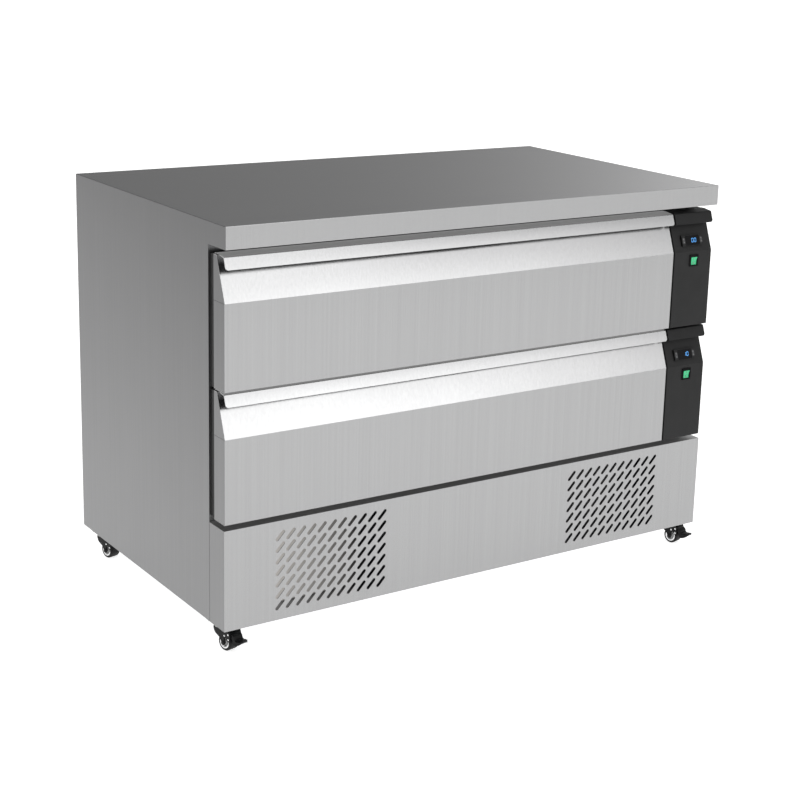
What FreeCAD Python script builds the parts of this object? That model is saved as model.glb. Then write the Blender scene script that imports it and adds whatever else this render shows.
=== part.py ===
import FreeCAD, Part
import math
import os

# Refrigerated counter with two full-width drawers, standing on four castors.
# Millimetres. +Z is up, the drawers open towards -Y, +X is to the right seen from the front.
# The origin is on the floor, under the middle of the body.

# Body
body_width = 1230.0
body_depth = 700.0
castor_height = 58.0
base_height = 208.0
worktop_thickness = 44.0
sheet = 1.2
rear_return = 14.0
cover_joint = 1.5
cover_return = 20.0

# Carcass behind the drawer fronts
front_setback = 8.0
carcass_setback = 71.0
side_wall = 50.0
cavity_height = 215.0
cavity_lift = 16.5
back_recess = 20.0
back_wall = 40.0
liner_sheet = 1.0
frame_sheet = 1.5
deck_wall = 40.0

# Drawer fronts
front_height = 261.5
front_thickness = 45.0
front_gap = 2.8
front_top_gap = 13.5
front_base_gap = 10.7
front_side_gap = 2.0
slant_height = 89.7
slant_run = 33.0
inner_panel_thickness = 10.0
inner_panel_inset = 1.0
gasket_inset = 2.0
gasket_width = 14.0
seat_clearance = 0.3

# Handle strip along the top of each front
handle_sheet = 1.5
handle_reach = 22.0
handle_drop = 3.0
handle_lip = 23.5
handle_left_inset = 3.0
handle_right_inset = 1.0
handle_corner = 6.0
handle_bend_lead = 1.0

# Drawer boxes and runners
runner_space = 14.0
box_rear_gap = 32.0
box_height = 130.0
box_lift = 15.0
runner_rear_gap = 36.6
runner_height = 46.0
runner_sheet = 1.5
runner_lift = 70.0
runner_flange = 8.0
runner_play = 0.4

# Control columns to the right of the drawers
column_width = 110.0
column_gap = 4.0
column_wall = 2.5
column_lip_wall = 3.0
column_web_width = 51.0
controller_width = 62.0
controller_height = 26.0
controller_proud = 4.0
controller_corner = 2.5
controller_body_width = 58.0
controller_body_height = 23.0
controller_body_depth = 50.0
controller_cut_depth = 10.0
controller_from_right = 57.5
controller_above_knee = 23.5
window_width = 41.0
window_height = 22.0
window_recess = 1.0
key_width = 7.0
key_height = 14.0
key_thickness = 2.0
key_proud = 0.6
key_travel = 0.7
key_offset = 25.7
key_clearance = 0.3
cutout_clearance = 0.3

# Rocker switches
switch_from_right = 54.5
switch_below_knee = 20.5
switch_bezel_width = 25.0
switch_bezel_height = 26.0
switch_bezel_proud = 2.2
switch_body_width = 21.6
switch_body_height = 24.0
switch_body_depth = 22.0
rocker_width = 17.0
rocker_height = 18.0
rocker_depth = 9.0
rocker_pivot_depth = 6.0
rocker_tilt = 9.0
rocker_side_play = 0.3
rocker_end_play = 1.6
rocker_dish = 1.4
rocker_taper = 0.6
rocker_pin_radius = 1.2
rocker_pin_length = 1.4

# Air grilles, and the cooling units behind them
grille_columns = 11
grille_rows = 7
rear_vent_rows = 5
slot_pitch_across = 23.6
slot_pitch_up = 24.3
slot_width = 7.0
slot_length = 27.0
slot_angle = 46.6
grille_height = 104.5
left_grille_from_left = 241.0
right_grille_from_left = 972.0

condenser_width = 250.0
condenser_height = 180.0
condenser_depth = 44.0
condenser_setback = 5.0
condenser_fins = 21
condenser_tubes = 5
fin_thickness = 0.8
fin_margin = 6.0
tube_radius = 4.5
coil_plate = 1.5

compressor_radius = 68.0
compressor_body_height = 150.0
compressor_round = 28.0
compressor_setback = 340.0
compressor_plate_width = 190.0
compressor_plate_depth = 130.0
compressor_plate = 3.0
grommet_radius = 9.0
grommet_height = 10.0
grommet_inset = 16.0
terminal_width = 46.0
terminal_height = 60.0
terminal_depth = 26.0

# Evaporators behind the control columns
evaporator_bay = 102.0
evaporator_length = 460.0
evaporator_width = 40.0
evaporator_height = 190.0
evaporator_fins = 31
evaporator_tubes = 4
evaporator_wall_gap = 3.0
evaporator_from_back = 20.0
duct_sheet = 1.2
return_slots = 6
return_slot_width = 7.0
return_slot_height = 90.0
return_slot_pitch = 16.0

# Fans
condenser_fan_radius = 68.0
evaporator_fan_radius = 42.0
evaporator_fan_lift = 152.0
evaporator_fan_from_front = 300.0
fan_blades = 5
fan_depth = 20.0
fan_standoff = 2.0
fan_tip_clearance = 4.0
fan_hub_share = 0.3
blade_root_share = 0.7
fan_pitch = 32.0
blade_thickness = 1.5
motor_radius_share = 0.42
motor_length = 30.0
motor_gap = 1.0
shaft_radius = 3.0
shaft_clearance = 0.05
post_radius = 3.0
post_margin = 9.0
motor_arms = 4
arm_width = 8.0
arm_thickness = 3.0

# Castors
castor_inset = 26.5
castor_front_setback = 69.0
castor_rear_inset = 57.0
castor_turn = 14.0
castor_plate_width = 48.0
castor_plate_depth = 44.0
castor_plate = 3.0
castor_bolt_radius = 4.5
castor_bolt_head = 2.5
castor_bolt_inset = 6.0
wheel_radius = 18.0
wheel_width = 24.0
wheel_round = 3.0
tyre_thickness = 5.0
hub_step = 1.5
axle_radius = 3.5
axle_clearance = 0.1
axle_head_radius = 5.5
axle_head = 2.0
castor_trail = 20.0
fork_side = 2.5
fork_side_gap = 0.9
crown_thickness = 4.0
crown_rise = 8.0
crown_lead = 0.72
race_radius = 16.0
race_height = 4.0
race_clearance = 0.3
kingpin_radius = 4.0
kingpin_clearance = 0.05

# Outline of a fork cheek, as (forward, up) from the axle in wheel radii, from its rear edge to its front
cheek_outline = [(-1.6, 1.35), (-1.4, 0.75), (-0.9, 0.2), (-0.45, -0.3), (0.0, -0.45), (0.35, -0.25),
                 (0.3, 0.25), (0.12, 0.72), (0.5, 0.62), (0.85, 0.25), (1.02, 0.45), (1.08, 1.05),
                 (0.98, 1.35)]

# Brake pedals of the two front castors
pedal_pivot_forward = 15.0
pedal_pivot_rise = 21.0
pedal_pin_radius = 1.8
pedal_barrel_radius = 3.5
pedal_pin_clearance = 0.1

# Side outline of a pedal, as (forward, up) from its pin: over the top to the tip and back along the underside
pedal_outline = [(-1.0, 3.0), (8.0, 1.0), (11.5, -2.0), (13.5, -8.5), (19.0, -10.0), (27.0, -8.5),
                 (32.5, -7.0), (33.0, -9.0), (28.0, -14.0), (20.0, -18.5), (11.0, -20.5), (9.5, -19.0),
                 (9.0, -15.0), (6.0, -8.0), (0.0, -3.0)]

# Half widths of a pedal, as (forward of its pin, half width)
pedal_plan = [(-2.0, 12.8), (4.0, 12.8), (8.0, 11.5), (16.0, 11.5), (22.0, 12.8), (29.0, 11.0), (33.0, 6.0)]

# Cable gland in the back
gland_radius = 11.0
gland_sleeve_radius = 8.2
gland_bore = 5.0
gland_nut_length = 6.0
gland_length = 12.0
gland_from_left = 90.0
gland_height = 60.0

# How far a cutting tool runs past what it cuts
cut_margin = 1.0

# Planes worked out from the sizes above
x_left = -body_width / 2
x_right = body_width / 2
y_front = -body_depth / 2
y_back = body_depth / 2
y_door = y_front + front_setback
y_face = y_front + carcass_setback
y_back_panel = y_back - back_recess
base_bottom = castor_height
base_top = base_bottom + base_height
lower_front = base_top + front_base_gap
upper_front = lower_front + front_height + front_gap
worktop_bottom = upper_front + front_height + front_top_gap
worktop_top = worktop_bottom + worktop_thickness
levels = {"upper": upper_front, "lower": lower_front}

column_right = x_right - front_side_gap
column_left = column_right - column_width
front_left = x_left + front_side_gap
front_right = column_left - column_gap
front_rear = y_door + front_thickness
panel_rear = front_rear + inner_panel_thickness

cavity_left = x_left + side_wall
cavity_right = x_right - side_wall
duct_face = cavity_right - evaporator_bay
cavity_back = y_back_panel - back_wall
deck_top = lower_front + cavity_lift - deck_wall
tray_top = base_bottom + frame_sheet

slant_angle = math.degrees(math.atan2(slant_run, slant_height))
knee_height = front_height - slant_height
box_left = cavity_left + runner_space
box_right = duct_face - runner_space

grille_centres = {"left": x_left + left_grille_from_left, "right": x_left + right_grille_from_left}
grille_centre_z = base_bottom + grille_height
condenser_front = y_face + condenser_setback
condenser_rear = condenser_front + condenser_depth
compressor_y = y_face + compressor_setback
castor_centres = {
    "front_left": (x_left + castor_inset, y_front + castor_front_setback),
    "front_right": (x_right - castor_inset, y_front + castor_front_setback),
    "rear_left": (x_left + castor_inset, y_back - castor_rear_inset),
    "rear_right": (x_right - castor_inset, y_back - castor_rear_inset),
}


def point(x, y, z):
    return FreeCAD.Vector(x, y, z)


def block(x0, x1, y0, y1, z0, z1):
    return Part.makeBox(x1 - x0, y1 - y0, z1 - z0, point(x0, y0, z0))


def prism_x(outline, x0, x1):
    # The outline is a list of (y, z) points, drawn out along X.
    corners = [point(x0, y, z) for y, z in outline]
    face = Part.Face(Part.makePolygon(corners + corners[:1]))
    return face.extrude(point(x1 - x0, 0, 0))


def rod(radius, start, end):
    line = end - start
    return Part.makeCylinder(radius, line.Length, start, line)


def join(shapes):
    return shapes[0].multiFuse(shapes[1:]).removeSplitter()


def rounded_plate(width, height, corner, y0, y1):
    # A plate in the XZ plane about the origin, with rounded corners.
    plate = block(-width / 2, width / 2, y0, y1, -height / 2, height / 2)
    upright = [e for e in plate.Edges if abs(e.tangentAt(e.FirstParameter).y) > 0.99]
    return plate.makeFillet(corner, upright)


def thick_line(path, thickness):
    # Closed outline of a bent sheet: the path, then the same path offset to its right-hand side.
    normals = []
    for (y0, z0), (y1, z1) in zip(path[:-1], path[1:]):
        length = math.hypot(y1 - y0, z1 - z0)
        normals.append(((z1 - z0) / length, -(y1 - y0) / length))
    inner = []
    for i, (y, z) in enumerate(path):
        before = normals[max(i - 1, 0)]
        after = normals[min(i, len(normals) - 1)]
        scale = thickness / (1 + before[0] * after[0] + before[1] * after[1])
        inner.append((y + (before[0] + after[0]) * scale, z + (before[1] + after[1]) * scale))
    return path + inner[::-1]


# Outer panels

def make_worktop():
    slab = block(x_left, x_right, y_front, y_back, worktop_bottom, worktop_top)
    inside = block(x_left + sheet, x_right - sheet, y_front + sheet, y_back - sheet,
                   worktop_bottom, worktop_top - sheet)
    front_return = block(x_left + sheet, x_right - sheet, y_front + sheet, y_face,
                         worktop_bottom, worktop_bottom + sheet)
    back_return = block(x_left + sheet, x_right - sheet, y_back_panel, y_back - sheet,
                        worktop_bottom, worktop_bottom + sheet)
    return join([slab.cut(inside), front_return, back_return])


def make_side_panel(side):
    outer = x_left if side == "left" else x_right
    inward = 1 if side == "left" else -1
    skin = sorted((outer, outer + inward * sheet))
    fold = sorted((outer + inward * sheet, outer + inward * (sheet + rear_return)))
    panel = block(skin[0], skin[1], y_face, y_back, base_bottom, worktop_bottom)
    rear_fold = block(fold[0], fold[1], y_back - sheet, y_back, base_bottom, worktop_bottom)
    return join([panel, rear_fold])


def make_slots(centre_x, rows, y0, y1):
    # Slanted slots with round ends, cut through a plate that lies between y0 and y1.
    reach = (slot_length - slot_width) / 2
    angle = math.radians(slot_angle)
    along = point(math.cos(angle), 0, math.sin(angle))
    across = point(-math.sin(angle), 0, math.cos(angle))
    slots = []
    for column in range(grille_columns):
        for row in range(rows):
            x = centre_x + (column - (grille_columns - 1) / 2) * slot_pitch_across
            z = grille_centre_z + (row - (rows - 1) / 2) * slot_pitch_up
            middle = point(x, y0, z)
            top = middle + along * reach
            low = middle - along * reach
            half = slot_width / 2
            tip = Part.Arc(top - across * half, top + along * half, top + across * half).toShape()
            tail = Part.Arc(low + across * half, low - along * half, low - across * half).toShape()
            side_up = Part.makeLine(top + across * half, low + across * half)
            side_down = Part.makeLine(low - across * half, top - across * half)
            wire = Part.Wire([tip, side_up, tail, side_down])
            slots.append(Part.Face(wire).extrude(point(0, y1 - y0, 0)))
    return slots


def make_back_panel():
    panel = block(x_left + sheet, x_right - sheet, y_back_panel - sheet, y_back_panel,
                  base_bottom, worktop_bottom)
    cuts = []
    for centre in grille_centres.values():
        cuts += make_slots(centre, rear_vent_rows, y_back_panel - 2 * sheet, y_back_panel + sheet)
    cable_end = point(x_left + gland_from_left, y_back_panel, base_bottom + gland_height)
    cuts.append(rod(gland_bore, cable_end - point(0, 2 * sheet, 0), cable_end + point(0, sheet, 0)))
    return panel.cut(Part.makeCompound(cuts))


def make_base_cover():
    front = block(x_left, x_right, y_door, y_door + sheet, base_bottom, base_top)
    left = block(x_left, x_left + sheet, y_door, y_face - cover_joint, base_bottom, base_top)
    right = block(x_right - sheet, x_right, y_door, y_face - cover_joint, base_bottom, base_top)
    top = block(x_left + sheet, x_right - sheet, y_door, y_face, base_top - sheet, base_top)
    foot = block(x_left, x_right, y_door, y_door + cover_return, base_bottom, base_bottom + sheet)
    cover = join([front, left, right, top, foot])
    slots = []
    for centre in grille_centres.values():
        slots += make_slots(centre, grille_rows, y_door - sheet, y_door + 2 * sheet)
    return cover.cut(Part.makeCompound(slots))


def make_base_frame():
    # A tube of sheet, its tray reaching forward to the foot of the base cover.
    tube = block(x_left + sheet, x_right - sheet, y_face, y_back_panel - sheet, base_bottom, deck_top)
    inside = block(x_left + sheet + frame_sheet, x_right - sheet - frame_sheet, y_face, y_back_panel - sheet,
                   tray_top, deck_top - frame_sheet)
    tray = block(x_left + sheet, x_right - sheet, y_door + cover_return, y_face, base_bottom, tray_top)
    return join([tube.cut(inside), tray])


# Insulated body

def cavity(front, grow):
    # The space of one compartment, grown by a wall on all sides but the front.
    floor = front + cavity_lift
    return block(cavity_left - grow, cavity_right + grow, y_face + sheet, cavity_back + grow,
                 floor - grow, floor + cavity_height + grow)


def make_liner(front):
    return cavity(front, liner_sheet).cut(cavity(front, 0))


def make_face_frame():
    plate = block(x_left + sheet, x_right - sheet, y_face, y_face + sheet, deck_top, worktop_bottom)
    doors = []
    for front in levels.values():
        floor = front + cavity_lift
        doors.append(block(cavity_left, duct_face, y_face - sheet, y_face + 2 * sheet,
                           floor, floor + cavity_height))
    return plate.cut(Part.makeCompound(doors))


def make_cabinet_foam():
    body = block(x_left + sheet, x_right - sheet, y_face + sheet, y_back_panel - sheet,
                 deck_top, worktop_bottom)
    neck = block(x_left + sheet, x_right - sheet, y_face, y_back_panel,
                 worktop_bottom, worktop_bottom + sheet)
    slab = block(x_left + sheet, x_right - sheet, y_front + sheet, y_back - sheet,
                 worktop_bottom + sheet, worktop_top - sheet)
    spaces = [cavity(front, liner_sheet) for front in levels.values()]
    return join([body, neck, slab]).cut(Part.makeCompound(spaces))


# Drawers

def front_outline(front, inset, rear, top_cut):
    # Section of a drawer front: upright below the knee, leaning back above it.
    lean = slant_run / slant_height
    shift = inset * math.hypot(1, lean)
    knee = front + knee_height
    top = front + front_height - top_cut - inset
    knee_z = knee - (shift - inset) / lean
    top_y = y_door + (top - knee) * lean + shift
    return [(rear, front + inset), (y_door + inset, front + inset), (y_door + inset, knee_z),
            (top_y, top), (rear, top)]


def make_front_shell(front):
    outer = prism_x(front_outline(front, 0, front_rear, handle_sheet), front_left, front_right)
    return outer.cut(make_front_foam(front))


def make_front_foam(front):
    return prism_x(front_outline(front, sheet, front_rear, handle_sheet),
                   front_left + sheet, front_right - sheet)


def make_inner_panel(front):
    return block(front_left + inner_panel_inset, front_right - inner_panel_inset, front_rear, panel_rear,
                 front + inner_panel_inset, front + front_height - handle_sheet - inner_panel_inset)


def make_gasket(front):
    left = front_left + gasket_inset
    right = front_right - gasket_inset
    low = front + gasket_inset
    high = front + front_height - handle_sheet - gasket_inset
    rear = y_face - seat_clearance
    ring = block(left, right, panel_rear, rear, low, high)
    hole = block(left + gasket_width, right - gasket_width, panel_rear, rear,
                 low + gasket_width, high - gasket_width)
    return ring.cut(hole)


def handle_path(front):
    # Outer line of the strip, from its seat on the front, over the top and down the lip.
    lean = slant_run / slant_height
    top = front + front_height
    bend = y_door + slant_run * (1 - handle_sheet / slant_height) - handle_bend_lead
    fold = (bend - handle_reach, top - handle_drop)
    lip_end = (fold[0] - handle_lip * lean, fold[1] - handle_lip)
    return [(front_rear, top), (bend, top), fold, lip_end]


def lip_trim(front, x0, x1, round_left):
    # Seen from the front, the lower corners of the lip are round.
    low = front + front_height - handle_drop - handle_lip
    high = front + front_height + handle_drop
    blank = block(x0, x1, y_door - handle_lip, front_rear + handle_lip, low, high)
    chosen = []
    for edge in blank.Edges:
        middle = edge.CenterOfMass
        along_y = abs(edge.tangentAt(edge.FirstParameter).y) > 0.99
        wanted = round_left or middle.x > (x0 + x1) / 2
        if along_y and middle.z < (low + high) / 2 and wanted:
            chosen.append(edge)
    return blank.makeFillet(handle_corner, chosen)


def make_handle(front):
    x0 = front_left + handle_left_inset
    x1 = front_right - handle_right_inset
    strip = prism_x(thick_line(handle_path(front)[::-1], handle_sheet), x0, x1)
    return strip.common(lip_trim(front, x0, x1, True))


def make_drawer_box(front):
    floor = front + cavity_lift + box_lift
    rear = cavity_back - box_rear_gap
    outer = block(box_left, box_right, panel_rear, rear, floor, floor + box_height)
    inner = block(box_left + sheet, box_right - sheet, panel_rear + sheet, rear - sheet,
                  floor + sheet, floor + box_height)
    return outer.cut(inner)


def runner_section(kind, wall, inward):
    # Channel sections that nest in each other, as (distance from the wall, half height) steps.
    half = runner_height / 2
    step = runner_sheet + runner_play
    if kind == "fixed":
        web, reach, tall = 0, runner_flange, half
    elif kind == "middle":
        web, reach, tall = step, step + runner_flange, half - step
    else:
        web, reach, tall = runner_space - runner_sheet, 2 * step, half - 2 * step
    x = [wall + inward * web, wall + inward * (web + runner_sheet), wall + inward * reach]
    return x, tall


def make_runner(kind, front, side):
    wall, inward = (cavity_left, 1) if side == "left" else (duct_face, -1)
    x, tall = runner_section(kind, wall, inward)
    middle = front + cavity_lift + runner_lift
    y0 = y_face + 2 * sheet
    y1 = cavity_back - runner_rear_gap
    web = sorted((x[0], x[1]))
    flange = sorted((x[0], x[2])) if kind != "inner" else sorted((x[1], x[2]))
    parts = [block(web[0], web[1], y0, y1, middle - tall, middle + tall)]
    for edge in (middle - tall, middle + tall - runner_sheet):
        parts.append(block(flange[0], flange[1], y0, y1, edge, edge + runner_sheet))
    return join(parts)


def make_runners(kind, fronts):
    sides = ("left", "right")
    return Part.makeCompound([make_runner(kind, front, side) for front in fronts for side in sides])


# Control columns

def place_on_slant(shape, front, x, rise):
    # Puts a piece drawn about the origin on the leaning face, rise above the knee.
    lean = slant_run / slant_height
    shape.rotate(point(0, 0, 0), point(1, 0, 0), -slant_angle)
    shape.translate(point(x, y_door + rise * lean, front + knee_height + rise))
    return shape


def controller_x():
    return x_right - controller_from_right


def switch_centre(front):
    return point(x_right - switch_from_right, y_door, front + knee_height - switch_below_knee)


def make_column(front):
    body = prism_x(front_outline(front, 0, y_face, 0), column_left, column_right)
    inside = prism_x(front_outline(front, column_wall, y_face, 0), column_left + column_wall,
                     column_right - column_wall)
    path = handle_path(front)
    lip = prism_x(thick_line(path[::-1], column_lip_wall), column_left, column_right)
    fold, lip_end = path[2], path[3]
    lean = slant_run / slant_height
    face_y = y_door + (lip_end[1] - front - knee_height) * lean
    web = prism_x([path[1], fold, lip_end, (face_y, lip_end[1]), (front_rear, lip_end[1]), path[0]],
                  column_right - column_web_width, column_right)
    brow = join([lip, web]).common(lip_trim(front, column_left, column_right, False))
    solid = join([body, brow]).cut(inside)
    half_width = controller_body_width / 2 + cutout_clearance
    half_height = controller_body_height / 2 + cutout_clearance
    opening = block(-half_width, half_width, -controller_proud, controller_cut_depth,
                    -half_height, half_height)
    opening = place_on_slant(opening, front, controller_x(), controller_above_knee)
    half_width = switch_body_width / 2 + cutout_clearance
    half_height = switch_body_height / 2 + cutout_clearance
    hole = block(-half_width, half_width, -column_wall, 2 * column_wall, -half_height, half_height)
    hole.translate(switch_centre(front))
    return solid.cut(Part.makeCompound([opening, hole]))


def make_controller(front):
    bezel = rounded_plate(controller_width, controller_height, controller_corner, -controller_proud, 0)
    body = block(-controller_body_width / 2, controller_body_width / 2, 0, controller_body_depth,
                 -controller_body_height / 2, controller_body_height / 2)
    window = block(-window_width / 2, window_width / 2, -controller_proud, -controller_proud + window_recess,
                   -window_height / 2, window_height / 2)
    cuts = [window]
    pocket = key_thickness - key_proud + key_travel + key_clearance
    for side in (-1, 1):
        middle = side * key_offset
        half_width = key_width / 2 + key_clearance
        half_height = key_height / 2 + key_clearance
        cuts.append(block(middle - half_width, middle + half_width,
                          -controller_proud, -controller_proud + pocket, -half_height, half_height))
    unit = join([bezel, body]).cut(Part.makeCompound(cuts))
    return place_on_slant(unit, front, controller_x(), controller_above_knee)


def make_key(front, side):
    face = -controller_proud - key_proud
    key = rounded_plate(key_width, key_height, controller_corner, face, face + key_thickness)
    key.translate(point(side * key_offset, 0, 0))
    return place_on_slant(key, front, controller_x(), controller_above_knee)


def make_switch_housing(front):
    bezel = rounded_plate(switch_bezel_width, switch_bezel_height, controller_corner, -switch_bezel_proud, 0)
    body = block(-switch_body_width / 2, switch_body_width / 2, 0, switch_body_depth,
                 -switch_body_height / 2, switch_body_height / 2)
    half_width = rocker_width / 2 + rocker_side_play
    half_height = rocker_height / 2 + rocker_end_play
    floor = rocker_pivot_depth + rocker_depth
    well = block(-half_width, half_width, -switch_bezel_proud, floor, -half_height, half_height)
    reach = rocker_width / 2 + rocker_pin_length + rocker_side_play
    bore = rod(rocker_pin_radius + shaft_clearance, point(-reach, rocker_pivot_depth, 0),
               point(reach, rocker_pivot_depth, 0))
    housing = join([bezel, body]).cut(Part.makeCompound([well, bore]))
    housing.translate(switch_centre(front))
    return housing


def make_rocker(front):
    # A dished key on two short pins, drawn level and then tipped to its rest side.
    half = rocker_height / 2
    face = -switch_bezel_proud
    rear = face + rocker_depth
    outline = [(face, half), (face + rocker_dish, 0), (face, -half), (rear, -half * rocker_taper),
               (rear, half * rocker_taper)]
    key = prism_x(outline, -rocker_width / 2, rocker_width / 2)
    reach = rocker_width / 2 + rocker_pin_length
    pins = rod(rocker_pin_radius, point(-reach, rocker_pivot_depth, 0), point(reach, rocker_pivot_depth, 0))
    rocker = join([key, pins])
    rocker.rotate(point(0, rocker_pivot_depth, 0), point(1, 0, 0), rocker_tilt)
    rocker.translate(switch_centre(front))
    return rocker


# Cooling units

def make_coil(length, height, depth, fins, tubes, foot):
    # A finned coil, length along X, standing on its two end plates at height zero.
    plates = []
    for x in (0, length - coil_plate):
        plates.append(block(x, x + coil_plate, 0, depth, 0, height))
    pitch = (length - coil_plate) / (fins + 1)
    for fin in range(fins):
        x = coil_plate / 2 + pitch * (fin + 1) - fin_thickness / 2
        plates.append(block(x, x + fin_thickness, fin_margin, depth - fin_margin, foot, height - fin_margin))
    rise = (height - fin_margin - foot) / tubes
    for tube in range(tubes):
        z = foot + rise * (tube + 0.5)
        plates.append(rod(tube_radius, point(0, depth / 2, z), point(length, depth / 2, z)))
    return join(plates)


def fan_rotor(radius):
    # Drawn about +Z, with z = 0 on the plate that the fan blows through.
    hub_radius = radius * fan_hub_share
    low = fan_standoff
    high = fan_standoff + fan_depth
    hub = rod(hub_radius, point(0, 0, low), point(0, 0, high))
    middle = (low + high) / 2
    ring = rod(radius, point(0, 0, low), point(0, 0, high))
    parts = [hub]
    for blade in range(fan_blades):
        vane = block(hub_radius * blade_root_share, radius + fan_tip_clearance, -fan_depth, fan_depth,
                     -blade_thickness / 2, blade_thickness / 2)
        vane.rotate(point(0, 0, 0), point(1, 0, 0), fan_pitch)
        vane.translate(point(0, 0, middle))
        vane.rotate(point(0, 0, 0), point(0, 0, 1), 360.0 / fan_blades * blade)
        parts.append(vane.common(ring))
    bore = rod(shaft_radius + shaft_clearance, point(0, 0, low - cut_margin), point(0, 0, high + cut_margin))
    return join(parts).cut(bore)


def fan_motor(radius):
    # Motor behind the rotor, its shaft through the hub, on four posts that stand on the plate.
    rear = fan_standoff + fan_depth + motor_gap
    can = rod(radius * motor_radius_share, point(0, 0, rear), point(0, 0, rear + motor_length))
    shaft = rod(shaft_radius, point(0, 0, fan_standoff), point(0, 0, rear + motor_length))
    parts = [can, shaft]
    reach = radius + post_margin
    arm = block(0, reach, -arm_width / 2, arm_width / 2, rear, rear + arm_thickness)
    post = rod(post_radius, point(reach, 0, 0), point(reach, 0, rear + arm_thickness))
    bracket = join([arm, post])
    for arm_index in range(motor_arms):
        copy = bracket.copy()
        copy.rotate(point(0, 0, 0), point(0, 0, 1), 360.0 / motor_arms * (arm_index + 0.5))
        parts.append(copy)
    return join(parts)


def place_condenser_fan(shape, side):
    shape.rotate(point(0, 0, 0), point(1, 0, 0), -90)
    shape.translate(point(grille_centres[side], condenser_rear + coil_plate, condenser_fan_z()))
    return shape


def condenser_fan_z():
    return tray_top + condenser_height / 2


def place_evaporator_fan(shape, front):
    shape.rotate(point(0, 0, 0), point(0, 1, 0), 90)
    shape.translate(point(duct_face + duct_sheet, y_face + evaporator_fan_from_front,
                          front + cavity_lift + evaporator_fan_lift))
    return shape


def make_condenser(side):
    coil = make_coil(condenser_width, condenser_height, condenser_depth, condenser_fins, condenser_tubes,
                     fin_margin)
    coil.translate(point(grille_centres[side] - condenser_width / 2, condenser_front, tray_top))
    shroud = block(grille_centres[side] - condenser_width / 2, grille_centres[side] + condenser_width / 2,
                   condenser_rear, condenser_rear + coil_plate, tray_top, tray_top + condenser_height)
    centre = point(grille_centres[side], condenser_rear - coil_plate, condenser_fan_z())
    mouth_length = 2 * coil_plate + cut_margin
    mouth = rod(condenser_fan_radius + fan_tip_clearance, centre, centre + point(0, mouth_length, 0))
    return join([coil, shroud.cut(mouth)])


def make_compressor(side):
    x = grille_centres[side]
    plate_low = tray_top + grommet_height
    plate_top = plate_low + compressor_plate
    can = rod(compressor_radius, point(x, compressor_y, plate_top),
              point(x, compressor_y, plate_top + compressor_body_height))
    can = can.makeFillet(compressor_round, can.Edges[0:1] + can.Edges[2:3])
    plate = block(x - compressor_plate_width / 2, x + compressor_plate_width / 2,
                  compressor_y - compressor_plate_depth / 2, compressor_y + compressor_plate_depth / 2,
                  plate_low, plate_top)
    saddle = rod(compressor_radius - compressor_round, point(x, compressor_y, plate_low),
                 point(x, compressor_y, plate_top + compressor_round))
    box_low = plate_top + (compressor_body_height - terminal_height) / 2
    terminal = block(x + compressor_radius - terminal_depth / 2, x + compressor_radius + terminal_depth,
                     compressor_y - terminal_width / 2, compressor_y + terminal_width / 2,
                     box_low, box_low + terminal_height)
    parts = [join([can, plate, saddle, terminal])]
    for dx in (-1, 1):
        for dy in (-1, 1):
            foot = point(x + dx * (compressor_plate_width / 2 - grommet_inset),
                         compressor_y + dy * (compressor_plate_depth / 2 - grommet_inset), tray_top)
            parts.append(rod(grommet_radius, foot, foot + point(0, 0, grommet_height)))
    return Part.makeCompound(parts)


def make_duct_panel(front):
    floor = front + cavity_lift
    ceiling = floor + cavity_height
    panel = block(duct_face, duct_face + duct_sheet, y_face + sheet, cavity_back, floor, ceiling)
    fan_y = y_face + evaporator_fan_from_front
    fan_z = floor + evaporator_fan_lift
    cuts = [rod(evaporator_fan_radius + fan_tip_clearance, point(duct_face - duct_sheet, fan_y, fan_z),
                point(duct_face + 2 * duct_sheet, fan_y, fan_z))]
    low = ceiling - return_slot_height - side_wall / 2
    for slot in range(return_slots):
        y = y_face + side_wall + slot * return_slot_pitch
        cuts.append(block(duct_face - duct_sheet, duct_face + 2 * duct_sheet, y, y + return_slot_width,
                          low, low + return_slot_height))
    return panel.cut(Part.makeCompound(cuts))


def make_evaporator(front):
    coil = make_coil(evaporator_length, evaporator_height, evaporator_width, evaporator_fins,
                     evaporator_tubes, side_wall / 2)
    coil.rotate(point(0, 0, 0), point(0, 0, 1), 90)
    coil.translate(point(cavity_right - evaporator_wall_gap,
                         cavity_back - evaporator_from_back - evaporator_length, front + cavity_lift))
    return coil


def make_fan_motors():
    motors = [place_condenser_fan(fan_motor(condenser_fan_radius), side) for side in grille_centres]
    motors += [place_evaporator_fan(fan_motor(evaporator_fan_radius), front) for front in levels.values()]
    return Part.makeCompound(motors)


def make_gland():
    seat = point(x_left + gland_from_left, y_back_panel, base_bottom + gland_height)
    nut = rod(gland_radius, seat, seat + point(0, gland_nut_length, 0))
    sleeve = rod(gland_sleeve_radius, seat, seat + point(0, gland_length, 0))
    bore = rod(gland_bore, seat - point(0, cut_margin, 0), seat + point(0, gland_length + cut_margin, 0))
    return join([nut, sleeve]).cut(bore)


# Castors, drawn about their swivel axis and then moved to their corner

def make_castor_plate():
    top = castor_height
    low = top - castor_plate
    plate = block(-castor_plate_width / 2, castor_plate_width / 2,
                  -castor_plate_depth / 2, castor_plate_depth / 2, low, top)
    parts = [plate, rod(race_radius, point(0, 0, low - race_height), point(0, 0, low))]
    parts.append(rod(kingpin_radius, point(0, 0, crown_bottom()), point(0, 0, low)))
    for dx in (-1, 1):
        for dy in (-1, 1):
            bolt = point(dx * (castor_plate_width / 2 - castor_bolt_inset),
                         dy * (castor_plate_depth / 2 - castor_bolt_inset), low)
            parts.append(rod(castor_bolt_radius, bolt - point(0, 0, castor_bolt_head), bolt))
    return join(parts)


def crown_bottom():
    return 2 * wheel_radius + crown_rise


def fork_inner():
    return wheel_width / 2 + fork_side_gap


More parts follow.
